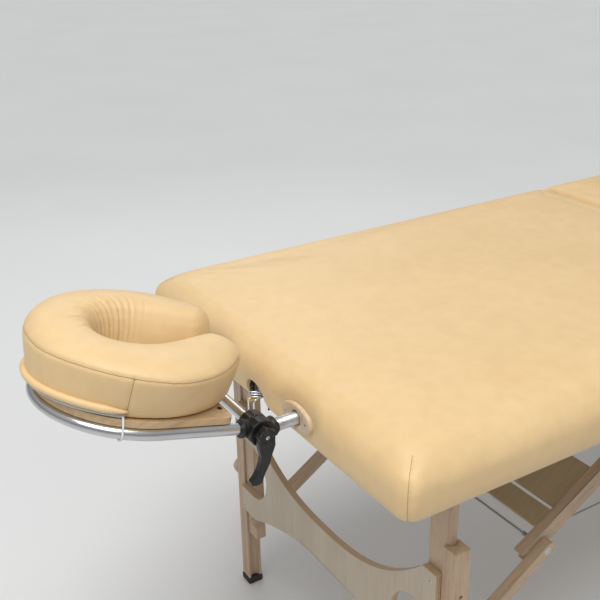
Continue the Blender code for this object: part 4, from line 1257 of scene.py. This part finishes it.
def frame_fasteners():
    """Panel screws, and the flush brace, knee and knob bolts of both halves."""
    for end, edge, sign in ENDS:
        legs, braces = end + "_legs", end + "_lower_braces"
        low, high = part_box(end + "_end_panel")
        face = low.x if sign > 0 else high.x
        places = [(way * 0.276, z) for way in (-1, 1) for z in PANEL_SCREW_Z]
        spots = [(Vector((face + sign * 0.0002, y, z)), (-sign, 0, 0)) for y, z in places]
        fasteners(end + "_panel_screws", spots, PAN_HEAD, 0.0036, STEEL, legs)
        for kind, body in (("lower", braces), ("upper", end + "_upper_frame")):
            pivot = Vector(JOINTS[f"{end}_{kind}_brace_fold"]["pos_m"])
            spots = facing_spots(f"{end}_{kind}_brace_", pivot, -1)
            fasteners(f"{end}_{kind}_pivot_bolts", spots, FLUSH_BOLT, 0.0062, STEEL, body, False)
        knee = Vector((edge + sign * KNEE_ALONG, 0, KNEE_Z))
        spots = facing_spots(end + "_lower_brace_", knee, 1)
        fasteners(end + "_knee_bolts", spots, FLUSH_BOLT, 0.0064, STEEL, braces, False)
        low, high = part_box(end + "_knob_near")
        spots = facing_spots(end + "_leg_", (low + high) / 2, -1)
        fasteners(end + "_knob_bolts", spots, FLUSH_BOLT, 0.0060, STEEL, legs, False)


def platform_bolts():
    """Dark flat heads on the platform near the clamps."""
    bm = bmesh.new()
    for way in (-1, 1):
        spot = cradle_point(0.046, way * 0.094, 0.0189)
        lathe(bm, spot, ABOVE, ((0.0, 0.0006), (0.0030, 0.0006), (0.0036, -0.001), (0.0, -0.001)))
    piece("platform_bolts", bm, DARK_STEEL_AND_SHADE, "cradle_hoop")


def pad_tie():
    """White elastic that ties the pad's zipper end to the hoop tube, with its small bar."""
    across = math.sqrt(HOOP_RADIUS**2 - (TIE_ALONG - HOOP_CENTRE) ** 2)
    reach = TUBE_RADIUS + 0.0015
    places = [(-0.1020, 0.0240), (-0.1120, 0.0212), (-0.1160, 0.0120)]
    for i in range(13):
        angle = math.radians(30 - 200 * i / 12)
        places.append((-across - reach * math.cos(angle), reach * math.sin(angle)))
    curve = bpy.data.curves.new("pad_tie", "CURVE")
    curve.dimensions = "3D"
    curve.bevel_depth = 0.0014
    curve.bevel_resolution = 3
    spline = curve.splines.new("POLY")
    spline.points.add(len(places) - 1)
    for point, (y, up) in zip(spline.points, places):
        point.co = (*cradle_point(TIE_ALONG, y, up), 1)
    curve.materials.append(ELASTIC)
    tie = bpy.data.objects.new("pad_tie", curve)
    bpy.context.scene.collection.objects.link(tie)
    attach(tie, "cradle_hoop")
    bm = bmesh.new()
    rod_in(bm, cradle_point(0.1965, -0.1000, 0.0236), cradle_point(0.1825, -0.1065, 0.0236), 0.0016, 12)
    piece("pad_tie_bar", bm, ELASTIC, "cradle_hoop")


def hardware():
    cradle_metal()
    clamps()
    lever()
    grommets()
    latch()
    frame_fasteners()
    platform_bolts()
    pad_tie()


# --- light, floor and camera ---

FLOOR_HALF = 30.0
SKY = ((0.0, (0.54, 0.55, 0.57)), (0.25, (0.66, 0.68, 0.70)), (0.55, (1.0, 1.0, 1.0)))
CAMERA_TURN = (31.32, 23.68, -1.18)
CAMERA_LENS = 56.0
CAMERA_PLACE = Vector((-0.5676, -1.0624, 1.2930))


def area_light(name, place, target, size, energy, colour=(1, 1, 1)):
    """Rectangular lamp at a place, turned towards its target."""
    data = bpy.data.lights.new(name, "AREA")
    data.shape = "RECTANGLE"
    data.size, data.size_y = size
    data.energy = energy
    data.color = colour
    obj = bpy.data.objects.new(name, data)
    bpy.context.scene.collection.objects.link(obj)
    obj.location = place
    obj.rotation_euler = (Vector(target) - Vector(place)).to_track_quat("-Z", "Y").to_euler()


def studio():
    """Pale floor, a soft sky that darkens towards the floor, a broad sun and two lamps."""
    bm = bmesh.new()
    bmesh.ops.create_grid(bm, x_segments=8, y_segments=8, size=FLOOR_HALF)
    mesh = bpy.data.meshes.new("floor")
    bm.to_mesh(mesh)
    bm.free()
    add_mesh("floor", mesh, [floor_material()])
    world = bpy.data.worlds.new("studio")
    world.use_nodes = True
    nodes, links = world.node_tree.nodes, world.node_tree.links
    coordinate = nodes.new("ShaderNodeTexCoord")
    split = nodes.new("ShaderNodeSeparateXYZ")
    links.new(coordinate.outputs["Generated"], split.inputs[0])
    ramp = nodes.new("ShaderNodeValToRGB")
    links.new(split.outputs["Z"], ramp.inputs["Fac"])
    elements = ramp.color_ramp.elements
    elements.new(0.5)
    for element, (position, colour) in zip(elements, SKY):
        element.position = position
        element.color = (*colour, 1)
    sky = nodes["Background"]
    links.new(ramp.outputs["Color"], sky.inputs["Color"])
    sky.inputs["Strength"].default_value = 0.50
    bpy.context.scene.world = world
    key = bpy.data.lights.new("key", "SUN")
    key.energy = 1.2
    key.angle = math.radians(38)
    key.color = (1.0, 0.985, 0.96)
    lamp = bpy.data.objects.new("key", key)
    bpy.context.scene.collection.objects.link(lamp)
    lamp.rotation_euler = Vector((0.02, 0.24, -1.0)).to_track_quat("-Z", "Y").to_euler()
    area_light("head", (-1.5, -0.7, 2.3), (HEAD_X - 0.1, 0, 0.7), (1.3, 1.3), 17, (1.0, 0.98, 0.95))
    area_light("rim", (0.2, 2.4, 1.9), (HEAD_X, 0, 0.6), (2.0, 0.8), 8)
    bpy.context.scene.view_settings.view_transform = "Standard"


def camera():
    """The main view, down over the near corner of the head end."""
    azimuth, pitch, roll = [math.radians(degrees) for degrees in CAMERA_TURN]
    level = Vector((math.cos(azimuth), -math.sin(azimuth), 0))
    ground = Vector((math.sin(azimuth), math.cos(azimuth), 0))
    forward = ground * math.cos(pitch) - Vector((0, 0, math.sin(pitch)))
    upright = level.cross(forward)
    right = level * math.cos(roll) + upright * math.sin(roll)
    up = upright * math.cos(roll) - level * math.sin(roll)
    data = bpy.data.cameras.new("camera")
    data.sensor_width = 36.0
    data.lens = CAMERA_LENS
    data.clip_end = 100.0
    obj = bpy.data.objects.new("camera", data)
    bpy.context.scene.collection.objects.link(obj)
    place = Matrix((right, up, -forward)).transposed().to_4x4()
    place.translation = Vector((HEAD_X, 0, 0)) + CAMERA_PLACE
    obj.matrix_world = place
    bpy.context.scene.camera = obj


dress_frame()
table_covers()
face_pad()
hardware()
studio()
camera()
